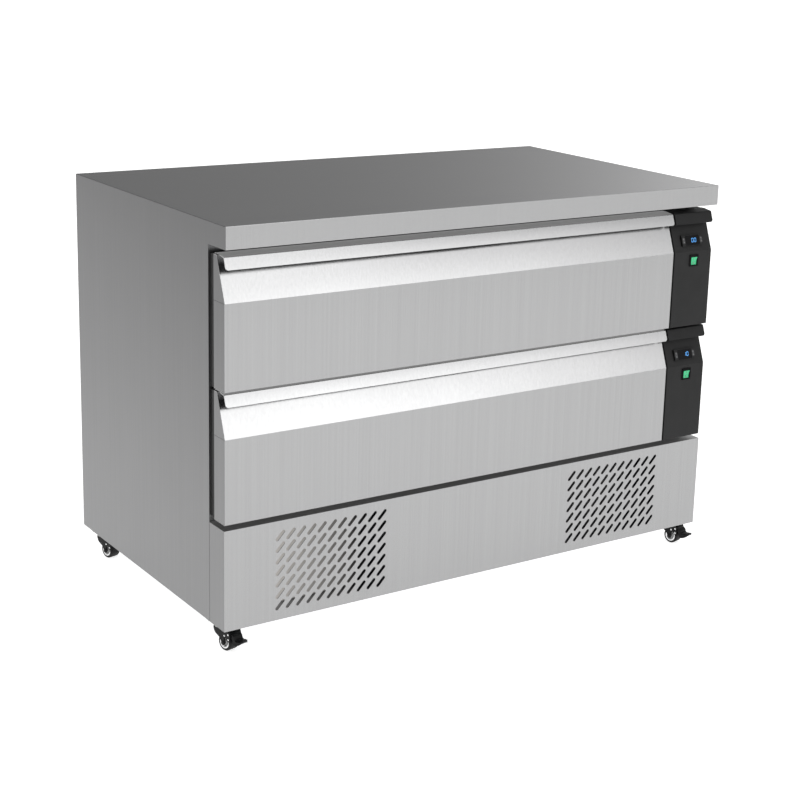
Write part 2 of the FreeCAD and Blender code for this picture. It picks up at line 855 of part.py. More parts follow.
def make_fork(braked):
    inner = fork_inner()
    outer = inner + fork_side
    crown_low = crown_bottom()
    crown_top = crown_low + crown_thickness
    axle_y = -castor_trail
    outline = [(axle_y - forward * wheel_radius, (1 + up) * wheel_radius) for forward, up in cheek_outline]
    rear = outline[0][0]
    lead = axle_y - wheel_radius * crown_lead
    cheek = [(rear, crown_top)] + outline + [(lead, crown_top)]
    parts = [prism_x(cheek, -outer, -inner), prism_x(cheek, inner, outer)]
    parts.append(block(-outer, outer, lead, rear, crown_low, crown_top))
    race_top = castor_height - castor_plate - race_height - race_clearance
    parts.append(rod(race_radius - fork_side, point(0, 0, crown_low), point(0, 0, race_top)))
    reach = outer + axle_head
    parts.append(rod(axle_radius, point(-reach, axle_y, wheel_radius), point(reach, axle_y, wheel_radius)))
    for side in (-1, 1):
        parts.append(rod(axle_head_radius, point(side * outer, axle_y, wheel_radius),
                         point(side * reach, axle_y, wheel_radius)))
    if braked:
        pin_y = axle_y - pedal_pivot_forward
        pin_z = wheel_radius + pedal_pivot_rise
        parts.append(rod(pedal_pin_radius, point(-outer, pin_y, pin_z), point(outer, pin_y, pin_z)))
    bore = rod(kingpin_radius + kingpin_clearance, point(0, 0, crown_low - cut_margin),
               point(0, 0, castor_height))
    return join(parts).cut(bore)


def make_wheel():
    half = wheel_width / 2
    far = half + cut_margin
    centre_y = -castor_trail
    rim = wheel_radius - tyre_thickness
    tread = rod(wheel_radius, point(-half, centre_y, wheel_radius), point(half, centre_y, wheel_radius))
    edges = [e for e in tread.Edges if e.Curve.TypeId == "Part::GeomCircle"]
    tread = tread.makeFillet(wheel_round, edges)
    seat = rod(rim, point(-far, centre_y, wheel_radius), point(far, centre_y, wheel_radius))
    hub = rod(rim, point(-half, centre_y, wheel_radius), point(half, centre_y, wheel_radius))
    cuts = [rod(axle_radius + axle_clearance, point(-far, centre_y, wheel_radius),
                point(far, centre_y, wheel_radius))]
    ring_outer = rim - hub_step
    ring_inner = axle_head_radius + hub_step
    for side in (-1, 1):
        start = point(side * (half - hub_step), centre_y, wheel_radius)
        end = point(side * far, centre_y, wheel_radius)
        cuts.append(rod(ring_outer, start, end).cut(rod(ring_inner, start, end)))
    return Part.makeCompound([tread.cut(seat), hub.cut(Part.makeCompound(cuts))])


def make_pedal():
    # A lever on a barrel: over the tyre, down in front of it, and out to a rounded bill.
    pin_y = -castor_trail - pedal_pivot_forward
    pin_z = wheel_radius + pedal_pivot_rise
    widest = max(half for forward, half in pedal_plan)
    lever = prism_x([(pin_y - forward, pin_z + up) for forward, up in pedal_outline], -widest, widest)
    right = [(half, pin_y - forward) for forward, half in pedal_plan]
    left = [(-half, pin_y - forward) for forward, half in pedal_plan]
    corners = [point(x, y, 0) for x, y in right + left[::-1]]
    stamp = Part.Face(Part.makePolygon(corners + corners[:1])).extrude(point(0, 0, castor_height))
    inner = fork_inner() - pedal_pin_clearance
    barrel = rod(pedal_barrel_radius, point(-inner, pin_y, pin_z), point(inner, pin_y, pin_z))
    bore = rod(pedal_pin_radius + pedal_pin_clearance, point(-widest - cut_margin, pin_y, pin_z),
               point(widest + cut_margin, pin_y, pin_z))
    return join([lever.common(stamp), barrel]).cut(bore)


def moved(shape, x, y):
    shape.translate(point(x, y, 0))
    return shape


def turned(shape, x, y):
    # At rest all castors stand turned the same way.
    shape.rotate(point(0, 0, 0), point(0, 0, 1), castor_turn)
    return moved(shape, x, y)


# All sub-parts, by name

nodes = {
    "worktop": make_worktop(),
    "side_panel_left": make_side_panel("left"),
    "side_panel_right": make_side_panel("right"),
    "back_panel": make_back_panel(),
    "face_frame": make_face_frame(),
    "cabinet_foam": make_cabinet_foam(),
    "base_frame": make_base_frame(),
    "base_cover": make_base_cover(),
    "fixed_runners": make_runners("fixed", levels.values()),
    "duct_panels": Part.makeCompound([make_duct_panel(front) for front in levels.values()]),
    "evaporators": Part.makeCompound([make_evaporator(front) for front in levels.values()]),
    "fan_motors": make_fan_motors(),
    "controllers": Part.makeCompound([make_controller(front) for front in levels.values()]),
    "switch_housings": Part.makeCompound([make_switch_housing(front) for front in levels.values()]),
    "castor_plates": Part.makeCompound([moved(make_castor_plate(), *spot)
                                        for spot in castor_centres.values()]),
    "cable_gland": make_gland(),
}

for level, front in levels.items():
    nodes["liner_" + level] = make_liner(front)
    nodes["control_column_" + level] = make_column(front)
    nodes["key_left_" + level] = make_key(front, -1)
    nodes["key_right_" + level] = make_key(front, 1)
    nodes["rocker_" + level] = make_rocker(front)
    nodes["evaporator_fan_" + level] = place_evaporator_fan(fan_rotor(evaporator_fan_radius), front)
    nodes["drawer_front_" + level] = make_front_shell(front)
    nodes["drawer_foam_" + level] = make_front_foam(front)
    nodes["drawer_inner_panel_" + level] = make_inner_panel(front)
    nodes["drawer_gasket_" + level] = make_gasket(front)
    nodes["drawer_handle_" + level] = make_handle(front)
    nodes["drawer_box_" + level] = make_drawer_box(front)
    nodes["drawer_runners_" + level] = make_runners("inner", [front])
    nodes["middle_runners_" + level] = make_runners("middle", [front])

for side in grille_centres:
    nodes["compressor_" + side] = make_compressor(side)
    nodes["condenser_" + side] = make_condenser(side)
    nodes["condenser_fan_" + side] = place_condenser_fan(fan_rotor(condenser_fan_radius), side)

for corner, spot in castor_centres.items():
    braked = corner.startswith("front")
    nodes["castor_fork_" + corner] = turned(make_fork(braked), *spot)
    nodes["castor_wheel_" + corner] = turned(make_wheel(), *spot)
    if braked:
        nodes["brake_pedal_" + corner] = turned(make_pedal(), *spot)

os.makedirs("parts", exist_ok=True)
for name, shape in nodes.items():
    shape.exportStep("parts/" + name + ".step")
    print(name, len(shape.Solids), round(shape.Volume), shape.isValid())
print(len(nodes), "sub-parts")
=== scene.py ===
import math

import bmesh
import bpy
from mathutils import Matrix, Vector


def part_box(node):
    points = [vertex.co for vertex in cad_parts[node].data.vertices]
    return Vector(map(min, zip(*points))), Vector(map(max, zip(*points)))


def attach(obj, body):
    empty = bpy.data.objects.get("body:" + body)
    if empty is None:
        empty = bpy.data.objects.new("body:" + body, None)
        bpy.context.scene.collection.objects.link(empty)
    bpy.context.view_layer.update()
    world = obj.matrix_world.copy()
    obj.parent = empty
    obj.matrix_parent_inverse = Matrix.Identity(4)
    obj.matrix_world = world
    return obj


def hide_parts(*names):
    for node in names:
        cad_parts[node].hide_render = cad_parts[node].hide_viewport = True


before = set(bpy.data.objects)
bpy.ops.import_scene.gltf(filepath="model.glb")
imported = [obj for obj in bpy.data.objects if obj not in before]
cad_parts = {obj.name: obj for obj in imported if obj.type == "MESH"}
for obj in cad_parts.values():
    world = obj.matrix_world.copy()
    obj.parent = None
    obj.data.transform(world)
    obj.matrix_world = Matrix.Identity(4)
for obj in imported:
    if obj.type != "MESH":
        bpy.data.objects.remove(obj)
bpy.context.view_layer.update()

mm = 0.001
alongX, alongY, alongZ = Vector((1, 0, 0)), Vector((0, 1, 0)), Vector((0, 0, 1))
levels = ("upper", "lower")
sides = ("left", "right")
corners = ("front_left", "front_right", "rear_left", "rear_right")
scene = bpy.context.scene
print("frame loaded:", len(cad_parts), "nodes")


# Camera, solved from the corners of the body in the 800 x 800 photograph
cameraFacts = {
    "place": (-2.0030, -3.0520, 1.4171),
    "yaw": 0.61813,
    "pitch": 0.24607,
    "roll": 0.03344,
    "focalPixels": 1672.03,
    "picturePixels": 800.0,
    "sensor": 36.0,
    "centre": (460.0, 340.0),
    "farClip": 60,
}


def makeCamera(facts):
    yaw, pitch, roll = facts["yaw"], facts["pitch"], facts["roll"]
    ahead = Vector((math.sin(yaw) * math.cos(pitch), math.cos(yaw) * math.cos(pitch), -math.sin(pitch)))
    level = Vector((math.cos(yaw), -math.sin(yaw), 0.0))
    above = level.cross(ahead)
    right = level * math.cos(roll) + above * math.sin(roll)
    up = above * math.cos(roll) - level * math.sin(roll)
    data = bpy.data.cameras.new("camera")
    size = facts["picturePixels"]
    data.sensor_width = facts["sensor"]
    data.lens = facts["focalPixels"] * facts["sensor"] / size
    data.shift_x = (size / 2 - facts["centre"][0]) / size
    data.shift_y = (facts["centre"][1] - size / 2) / size
    data.clip_end = facts["farClip"]
    camera = bpy.data.objects.new("camera", data)
    turn = Matrix((right, up, -ahead)).transposed().to_4x4()
    camera.matrix_world = Matrix.Translation(facts["place"]) @ turn
    scene.collection.objects.link(camera)
    scene.camera = camera


makeCamera(cameraFacts)
print("camera placed")


# Mesh tools

meshFacts = {
    "weld": 1e-6,        # points nearer than this are one
    "axisRadius": 1e-7,  # a turned ring smaller than this is one point
    "softAngle": 30,     # edges bent further than this are softened
}


def newPiece(name, build, sharp=32):
    # build fills a bmesh; edges sharper than the angle stay sharp.
    mesh = bpy.data.meshes.new(name)
    bm = bmesh.new()
    build(bm)
    bmesh.ops.remove_doubles(bm, verts=bm.verts, dist=meshFacts["weld"])
    bmesh.ops.recalc_face_normals(bm, faces=bm.faces)
    bm.to_mesh(mesh)
    bm.free()
    mesh.polygons.foreach_set("use_smooth", [True] * len(mesh.polygons))
    mesh.set_sharp_from_angle(angle=math.radians(sharp))
    piece = bpy.data.objects.new(name, mesh)
    scene.collection.objects.link(piece)
    return piece


def dress(piece, material, body, stands=(), edge=0.0, segments=3, softEdge=None):
    # Gives a piece its finish, its softened edges, its body and the nodes that it stands for.
    # softEdge picks edges by their two end points; without it every sharp edge is softened.
    piece.data.materials.append(material)
    if edge:
        soften = piece.modifiers.new("edges", "BEVEL")
        soften.width = edge
        soften.segments = segments
        soften.limit_method = "ANGLE"
        soften.angle_limit = math.radians(meshFacts["softAngle"])
        soften.harden_normals = True
        if softEdge:
            points = [v.co for v in piece.data.vertices]
            weights = [1.0 if softEdge(*(points[i] for i in e.vertices)) else 0.0 for e in piece.data.edges]
            layer = piece.data.attributes.new("bevel_weight_edge", "FLOAT", "EDGE")
            layer.data.foreach_set("value", weights)
            soften.limit_method = "WEIGHT"
    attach(piece, body)
    if stands:
        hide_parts(*stands)
    return piece


def joinPair(bm, one, two):
    for i in range(len(one)):
        j = (i + 1) % len(one)
        bm.faces.new((one[i], two[i], two[j], one[j]))


def joinLoops(bm, loops):
    # Closes the first and the last outline, and joins each one to the next.
    bm.faces.new(loops[0])
    bm.faces.new(loops[-1][::-1])
    for one, two in zip(loops[:-1], loops[1:]):
        joinPair(bm, one, two)


def addPrism(bm, outline, x0, x1):
    # A (y, z) outline drawn out along X.
    joinLoops(bm, [[bm.verts.new((x, y, z)) for y, z in outline] for x in (x0, x1)])


def addPlate(bm, outline, y0, y1):
    # An (x, z) outline drawn out along Y.
    joinLoops(bm, [[bm.verts.new((x, y, z)) for x, z in outline] for y in (y0, y1)])


def addPost(bm, outline, z0, z1):
    # An (x, y) outline drawn up along Z.
    joinLoops(bm, [[bm.verts.new((x, y, z)) for x, y in outline] for z in (z0, z1)])


def addSlab(bm, low, high):
    outline = [(low[1], low[2]), (high[1], low[2]), (high[1], high[2]), (low[1], high[2])]
    addPrism(bm, outline, low[0], high[0])


def roundCorners(points, radii, steps=6):
    # A closed outline with each corner turned into an arc; radius 0 keeps the corner.
    out = []
    count = len(points)
    for i, (corner, radius) in enumerate(zip(points, radii)):
        here = Vector(corner)
        before = (Vector(points[i - 1]) - here).normalized()
        after = (Vector(points[(i + 1) % count]) - here).normalized()
        if radius <= 0:
            out.append(tuple(here))
            continue
        half = before.angle(after) / 2
        reach = radius / math.tan(half)
        middle = here + (before + after).normalized() * (radius / math.sin(half))
        start = here + before * reach - middle
        end = here + after * reach - middle
        sweep = start.angle_signed(end)
        for step in range(steps + 1):
            spun = Matrix.Rotation(-sweep * step / steps, 2) @ start
            out.append(tuple(middle + spun))
    return out


def rectangle(size, radius, steps=5):
    a, b = size[0] / 2, size[1] / 2
    return roundCorners([(-a, -b), (a, -b), (a, b), (-a, b)], [radius] * 4, steps)


def fromPoint(origin, offsets):
    # Points given in mm from an origin in metres.
    return [(origin[0] + a * mm, origin[1] + b * mm) for a, b in offsets]


def mirrored(profile):
    # A turned profile carried on to the other side of its middle.
    return profile + [(-along, radius) for along, radius in profile[::-1]]


def addLathe(bm, profile, centre, axis, segments=48):
    # Turns (along, radius) points about an axis through the centre; ends on the axis are closed.
    axis = Vector(axis).normalized()
    side = axis.orthogonal().normalized()
    other = axis.cross(side)
    rings = []
    for along, radius in profile:
        middle = Vector(centre) + axis * along
        if radius < meshFacts["axisRadius"]:
            rings.append([bm.verts.new(middle)])
            continue
        ring = []
        for k in range(segments):
            turn = 2 * math.pi * k / segments
            out = side * math.cos(turn) + other * math.sin(turn)
            ring.append(bm.verts.new(middle + out * radius))
        rings.append(ring)
    for one, two in zip(rings[:-1], rings[1:]):
        for k in range(segments):
            n = (k + 1) % segments
            if len(one) == 1 and len(two) == 1:
                continue
            if len(one) == 1:
                bm.faces.new((one[0], two[k], two[n]))
            elif len(two) == 1:
                bm.faces.new((one[k], one[n], two[0]))
            else:
                bm.faces.new((one[k], one[n], two[n], two[k]))


def bentPath(points, radii, steps=6):
    # An open path with its inner corners turned into arcs.
    return [Vector(p) for p in roundCorners(points, [0] + list(radii) + [0], steps)]


def offsetPath(path, distance):
    # The same path, moved sideways by the thickness of a sheet.
    out = []
    for i, here in enumerate(path):
        before = (here - path[i - 1] if i else path[1] - here).normalized()
        after = (path[i + 1] - here).normalized() if i < len(path) - 1 else before
        normalA = Vector((before.y, -before.x))
        normalB = Vector((after.y, -after.x))
        scale = distance / (1 + normalA.dot(normalB))
        out.append(here + (normalA + normalB) * scale)
    return out


def addBentStrip(bm, path, thickness, x0, x1, leftRound, rightRound, steps=8):
    # A bent sheet along X whose last run ends in round corners seen from the front.
    run = (path[-1] - path[-2]).normalized()
    ends = []
    for radius, start, sign in ((leftRound, x0, 1), (rightRound, x1, -1)):
        arc = [(start, 0.0)]
        if radius:
            turns = [math.pi / 2 * step / steps for step in range(steps + 1)]
            arc = [(start + sign * radius * (1 - math.cos(turn)), radius * (1 - math.sin(turn)))
                   for turn in turns]
        ends.append(arc)
    inner = offsetPath(path, thickness)
    loops = []
    for x, cut in ends[0] + ends[1][::-1]:
        outerLine = path[:-1] + [path[-1] - run * cut]
        innerLine = inner[:-1] + [inner[-1] - run * cut]
        loops.append([bm.verts.new((x, p[0], p[1])) for p in outerLine + innerLine[::-1]])
    joinLoops(bm, loops)


def shifted(bm, build, matrix):
    # Runs build on an empty bmesh and adds the result to bm, moved by the matrix.
    part = bmesh.new()
    build(part)
    part.transform(matrix)
    mesh = bpy.data.meshes.new("part")
    part.to_mesh(mesh)
    part.free()
    bm.from_mesh(mesh)
    bpy.data.meshes.remove(mesh)


# Finishes

def newMaterial(name):
    material = bpy.data.materials.new(name)
    material.use_nodes = True
    tree = material.node_tree
    return material, tree.nodes, tree.links, tree.nodes["Principled BSDF"]


def grainNoise(nodes, links, scale, detail, roughness=0.5):
    place = nodes.new("ShaderNodeTexCoord")
    stretch = nodes.new("ShaderNodeMapping")
    stretch.inputs["Scale"].default_value = scale
    pattern = nodes.new("ShaderNodeTexNoise")
    pattern.inputs["Scale"].default_value = 1.0
    pattern.inputs["Detail"].default_value = detail
    pattern.inputs["Roughness"].default_value = roughness
    links.new(place.outputs["Object"], stretch.inputs["Vector"])
    links.new(stretch.outputs["Vector"], pattern.inputs["Vector"])
    return pattern.outputs["Fac"]


def spread(nodes, links, source, low, high, start=0.3, end=0.7):
    # The source from start to end, spread over low to high.
    ranged = nodes.new("ShaderNodeMapRange")
    ranged.inputs["From Min"].default_value = start
    ranged.inputs["From Max"].default_value = end
    ranged.inputs["To Min"].default_value = low
    ranged.inputs["To Max"].default_value = high
    links.new(source, ranged.inputs["Value"])
    return ranged.outputs["Result"]


def fadeAlong(nodes, links, axis, low, high, start, end):
    # Goes from low to high between two places along an axis of the counter.
    place = nodes.new("ShaderNodeTexCoord")
    axes = nodes.new("ShaderNodeSeparateXYZ")
    links.new(place.outputs["Object"], axes.inputs["Vector"])
    return spread(nodes, links, axes.outputs[axis], low, high, start, end)


def calc(nodes, links, operation, *values):
    # A math node on sockets and plain numbers.
    node = nodes.new("ShaderNodeMath")
    node.operation = operation
    for socket, value in zip(node.inputs, values):
        if isinstance(value, (int, float)):
            socket.default_value = value
        else:
            links.new(value, socket)
    return node.outputs["Value"]


def twoTones(nodes, links, source, dark, light):
    mix = nodes.new("ShaderNodeMix")
    mix.data_type = "RGBA"
    mix.inputs["A"].default_value = (*dark, 1)
    mix.inputs["B"].default_value = (*light, 1)
    links.new(source, mix.inputs["Factor"])
    return mix.outputs["Result"]


def addBump(nodes, links, source, shader, strength, distance):
    bump = nodes.new("ShaderNodeBump")
    bump.inputs["Strength"].default_value = strength
    bump.inputs["Distance"].default_value = distance
    links.new(source, bump.inputs["Height"])
    links.new(bump.outputs["Normal"], shader.inputs["Normal"])


def setEmission(shader, colour, strength):
    shader.inputs["Emission Color"].default_value = (*colour, 1)
    shader.inputs["Emission Strength"].default_value = strength


# Brushed steel: what a finish has of its own, over what they all share. The side copy carries painted shade,
# and the ledge and sill copies painted light.
steelFacts = {
    "steelFront": {"tone": (0.355, 0.355, 0.357), "rough": 0.23, "anisotropy": 0.4},
    # The side copy is darker than the front one, and darkens further towards the top: painted shade.
    "steelSidePaintedShade": {"tone": (0.233, 0.233, 0.235), "rough": 0.34, "anisotropy": 0.5, "paintedShade": 0.57},
    "steelTop": {"tone": (0.53, 0.53, 0.535), "rough": 0.21, "along": "X", "tangent": "X"},
    "steelInner": {"tone": (0.62, 0.62, 0.62), "rough": 0.42, "along": "Y"},
    # Lighter copies with a painted glow, for the handle's upward faces and the base's sill: painted light
    "steelLedgePaintedLight": {"tone": (0.42, 0.42, 0.42), "rough": 0.34, "paintedLight": 0.17},
    "steelSillPaintedLight": {"tone": (0.40, 0.40, 0.40), "rough": 0.34, "paintedLight": 0.035},
}

brushFacts = {
    "along": "Z",                 # the way the grain runs
    "tangent": "Z",               # the axis that its gloss is drawn out about
    "anisotropy": 0.3,
    "paintedShade": 1.0,                  # painted shade: share of the tone left at the top of the counter
    "paintedShadeRange": (0.10, 0.86),    # heights that the painted shade runs between
    "paintedLight": 0.0,                  # painted light: a glow for the light that a shaded ledge gets back
    "lineWidth": 0.0007,
    "lineLength": 0.12,
    "streakWidth": 0.0035,
    "streakLength": 0.9,
    "streakRoughness": 0.65,
    "cloudSize": 0.35,
    "toneShift": (0.955, 1.03),   # darkest and lightest streak
    "lineShift": 0.02,            # how far fine lines and wide clouds shift the gloss
    "cloudShift": 0.012,
    "bump": 0.12,
    "bumpDepth": 0.00006,
}


def makeSteel(name):
    facts = {**brushFacts, **steelFacts[name]}
    material, nodes, links, shader = newMaterial(name)

    def alongGrain(width, length):
        return tuple(1 / length if axis == facts["along"] else 1 / width for axis in "XYZ")
    lines = grainNoise(nodes, links, alongGrain(facts["lineWidth"], facts["lineLength"]), detail=3)
    streaks = grainNoise(nodes, links, alongGrain(facts["streakWidth"], facts["streakLength"]), detail=4,
                         roughness=facts["streakRoughness"])
    clouds = grainNoise(nodes, links, (1 / facts["cloudSize"],) * 3, detail=3)
    dark, light = (tuple(Vector(facts["tone"]) * shift) for shift in facts["toneShift"])
    colour = twoTones(nodes, links, spread(nodes, links, streaks, 0, 1), dark, light)
    # Painted shade: the tone darkens towards the top of the counter.
    if facts["paintedShade"] < 1:
        share = fadeAlong(nodes, links, "Z", 1.0, facts["paintedShade"], *facts["paintedShadeRange"])
        scaled = nodes.new("ShaderNodeVectorMath")
        scaled.operation = "SCALE"
        links.new(colour, scaled.inputs[0])
        links.new(share, scaled.inputs["Scale"])
        colour = scaled.outputs["Vector"]
    links.new(colour, shader.inputs["Base Color"])
    # Painted light: the ledge and sill copies glow a little, for light that reaches their shaded faces.
    setEmission(shader, (1, 1, 1), facts["paintedLight"])
    rough, shift = facts["rough"], facts["lineShift"]
    fine = spread(nodes, links, lines, rough - shift, rough + shift)
    wide = spread(nodes, links, clouds, -facts["cloudShift"], facts["cloudShift"])
    links.new(calc(nodes, links, "ADD", fine, wide), shader.inputs["Roughness"])
    shader.inputs["Metallic"].default_value = 1.0
    shader.inputs["Anisotropic"].default_value = facts["anisotropy"]
    tangent = nodes.new("ShaderNodeTangent")
    tangent.direction_type = "RADIAL"
    tangent.axis = facts["tangent"]
    links.new(tangent.outputs["Tangent"], shader.inputs["Tangent"])
    addBump(nodes, links, lines, shader, facts["bump"], facts["bumpDepth"])
    return material


# Other finishes: tones between dark and light in wide patches, and a fine grain that shifts the gloss
plainFacts = {
    "zincPlate": {"dark": (0.42, 0.42, 0.40), "light": (0.55, 0.55, 0.54), "rough": 0.42, "grain": 0.004,
                  "bump": 0.1, "metallic": 1.0},
    "galvanised": {"dark": (0.36, 0.37, 0.38), "light": (0.5, 0.51, 0.52), "rough": 0.5, "grain": 0.012,
                   "bump": 0.08, "metallic": 1.0},
    "finMetal": {"dark": (0.5, 0.5, 0.5), "light": (0.62, 0.62, 0.62), "rough": 0.35, "grain": 0.003,
                 "bump": 0.05, "metallic": 1.0},
    "blackMould": {"dark": (0.012, 0.012, 0.0122), "light": (0.015, 0.015, 0.0152), "rough": 0.55,
                   "grain": 0.0006, "bump": 0.25, "bumpDepth": 0.00008, "specular": 0.22},
    "blackGloss": {"dark": (0.006, 0.006, 0.0065), "light": (0.009, 0.009, 0.010), "rough": 0.22,
                   "grain": 0.002, "bump": 0.02, "specular": 0.05},
    "castorBlack": {"dark": (0.005, 0.005, 0.0053), "light": (0.009, 0.009, 0.0094), "rough": 0.36,
                    "grain": 0.001, "bump": 0.15, "specular": 0.14},
    "tyreBlack": {"dark": (0.008, 0.008, 0.0085), "light": (0.014, 0.014, 0.0145), "rough": 0.5,
                  "grain": 0.0012, "bump": 0.3, "specular": 0.18},
    "hubSilver": {"dark": (0.72, 0.72, 0.72), "light": (0.85, 0.85, 0.85), "rough": 0.24, "grain": 0.002,
                  "bump": 0.04, "metallic": 1.0},
    "hubGrey": {"dark": (0.42, 0.42, 0.42), "light": (0.50, 0.50, 0.50), "rough": 0.4, "grain": 0.001,
                "bump": 0.1},
    "gasketBlack": {"dark": (0.006, 0.006, 0.006), "light": (0.011, 0.011, 0.011), "rough": 0.7,
                    "grain": 0.0012, "bump": 0.2},
    "motorBlack": {"dark": (0.012, 0.012, 0.013), "light": (0.022, 0.022, 0.023), "rough": 0.4,
                   "grain": 0.003, "bump": 0.1},
    "foamCream": {"dark": (0.62, 0.5, 0.3), "light": (0.74, 0.62, 0.4), "rough": 0.9, "grain": 0.003,
                  "bump": 0.5, "bumpDepth": 0.0006},
    "keyGrey": {"dark": (0.03, 0.03, 0.032), "light": (0.045, 0.045, 0.047), "rough": 0.4, "grain": 0.0008,
                "bump": 0.2},
    "markGrey": {"dark": (0.20, 0.20, 0.20), "light": (0.26, 0.26, 0.26), "rough": 0.5, "grain": 0.001},
}

patchFacts = {"size": 60, "glossShift": 0.12, "roughness": 0.6}    # patch size in grains


def makePlain(name, dark, light, rough, grain, bump=0.0, metallic=0.0, bumpDepth=0.0001, specular=0.5):
    material, nodes, links, shader = newMaterial(name)
    fine = grainNoise(nodes, links, (1 / grain,) * 3, detail=4, roughness=patchFacts["roughness"])
    wide = grainNoise(nodes, links, (1 / (grain * patchFacts["size"]),) * 3, detail=3)
    tones = twoTones(nodes, links, spread(nodes, links, wide, 0, 1), dark, light)
    links.new(tones, shader.inputs["Base Color"])
    shift = patchFacts["glossShift"]
    gloss = spread(nodes, links, fine, rough * (1 - shift), min(rough * (1 + shift), 1.0))
    links.new(gloss, shader.inputs["Roughness"])
    shader.inputs["Metallic"].default_value = metallic
    shader.inputs["Specular IOR Level"].default_value = specular
    if bump:
        addBump(nodes, links, fine, shader, bump, bumpDepth)
    return material


# Lit finishes: the figures, and the switch's lens with its lamp on
glowFacts = {
    "digitBlue": {"colour": (0.05, 0.27, 0.66), "strength": 1.7, "base": (0.02, 0.02, 0.02)},
    "lensGreen": {"colour": (0.02, 0.40, 0.16), "strength": 0.35, "base": (0.02, 0.36, 0.15)},
}

lensFacts = {"grain": 0.002, "rough": (0.2, 0.32), "toneShift": 1.1}


def makeGlow(name, colour, strength, base):
    material, nodes, links, shader = newMaterial(name)
    fine = grainNoise(nodes, links, (1 / lensFacts["grain"],) * 3, detail=2)
    links.new(spread(nodes, links, fine, *lensFacts["rough"]), shader.inputs["Roughness"])
    light = tuple(c * lensFacts["toneShift"] for c in base)
    links.new(twoTones(nodes, links, fine, base, light), shader.inputs["Base Color"])
    setEmission(shader, colour, strength)
    return material


finish = {name: makeSteel(name) for name in steelFacts}
finish.update({name: makePlain(name, **facts) for name, facts in plainFacts.items()})
finish.update({name: makeGlow(name, **facts) for name, facts in glowFacts.items()})
print("finishes made")


# Worktop and side panels

def finishFaces(mesh, looks, facing=0.9):
    # Gives the faces that look up, or out to a side, a copy of a finish of their own: the upward copies carry
    # painted light, the side copy painted shade.
    for key, material in looks.items():
        mesh.materials.append(material)
        slot = len(mesh.materials) - 1
        for face in mesh.polygons:
            normal = face.normal
            if (key == "up" and normal.z > facing) or (key == "side" and abs(normal.x) > facing):
                face.material_index = slot


topFacts = {
    "edge": 0.8 * mm,
    "panelEdge": 0.4 * mm,
    "sheet": 1.2 * mm,
    "rearFold": 14.0 * mm,
}


def makeWorktop():
    low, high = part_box("worktop")
    middle = (low.z + high.z) / 2

    def softEdge(one, two):
        # Its lower edges stay crisp, because they lie flush on the side panels.
        return max(one.z, two.z) > middle
    piece = newPiece("worktopSkin", lambda bm: addSlab(bm, low, high))
    dress(piece, finish["steelTop"], "root", ["worktop"], topFacts["edge"], 3, softEdge)
    # The four upright faces of the slab have the upright grain of the fronts and sides; the faces that look
    # to a side take the darker copy with painted shade.
    piece.data.materials.append(finish["steelFront"])
    piece.data.materials.append(finish["steelSidePaintedShade"])
    for face in piece.data.polygons:
        if abs(face.normal.y) > 0.5:
            face.material_index = 1
        elif abs(face.normal.x) > 0.5:
            face.material_index = 2


def makeSidePanels():
    sheet, fold = topFacts["sheet"], topFacts["rearFold"]
    for side in sides:
        low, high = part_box("side_panel_" + side)
        outer = low.x if side == "left" else high.x
        inward = 1 if side == "left" else -1
        inner = outer + inward * sheet
        end = inner + inward * fold
        outline = [(outer, low.y), (inner, low.y), (inner, high.y - sheet), (end, high.y - sheet),
                   (end, high.y), (outer, high.y)]

        def softEdge(one, two):
            return abs(one.z - two.z) > sheet and min(abs(one.x - outer), abs(two.x - outer)) < sheet / 2
        piece = newPiece("sidePanel_" + side, lambda bm: addPost(bm, outline, low.z, high.z))
        dress(piece, finish["steelSidePaintedShade"], "root", ["side_panel_" + side], topFacts["panelEdge"], 2, softEdge)


makeWorktop()
makeSidePanels()
print("outer panels made")


# Drawer fronts: a bent skin, side flanges in two plates that meet at the knee, and the handle strip

frontFacts = {
    "knee": 89.7 * mm,      # below the top of the handle
    "lean": 33.0 / 89.7,    # how far the upper part leans back for its height
    "sheet": 1.2 * mm,
    "seam": 0.35 * mm,      # between a flange's two plates
    "cornerRound": 1.8 * mm,
    "kneeRound": 3.0 * mm,
    "skinEdge": 0.3 * mm,
    "flangeEdge": 0.15 * mm,
    "flangeFromSide": 0.1 * mm,
    "flangePlay": 0.05 * mm,
    "handleSheet": 1.5 * mm,
    "handleReach": 22.0 * mm,
    "handleDrop": 3.0 * mm,
    "handleLip": 23.5 * mm,
    "handleRound": 6.0 * mm,
    "handleBend": 6 * mm,
    "handleEdge": 0.35 * mm,
    "foldRound": 2.4 * mm,
    "bendLead": 1.0 * mm,
}


def frontBox(level):
    # Lowest and highest corner of a drawer front, and the top of the handle over it.
    low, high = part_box("drawer_front_" + level)
    return low, high, high.z + frontFacts["handleSheet"]


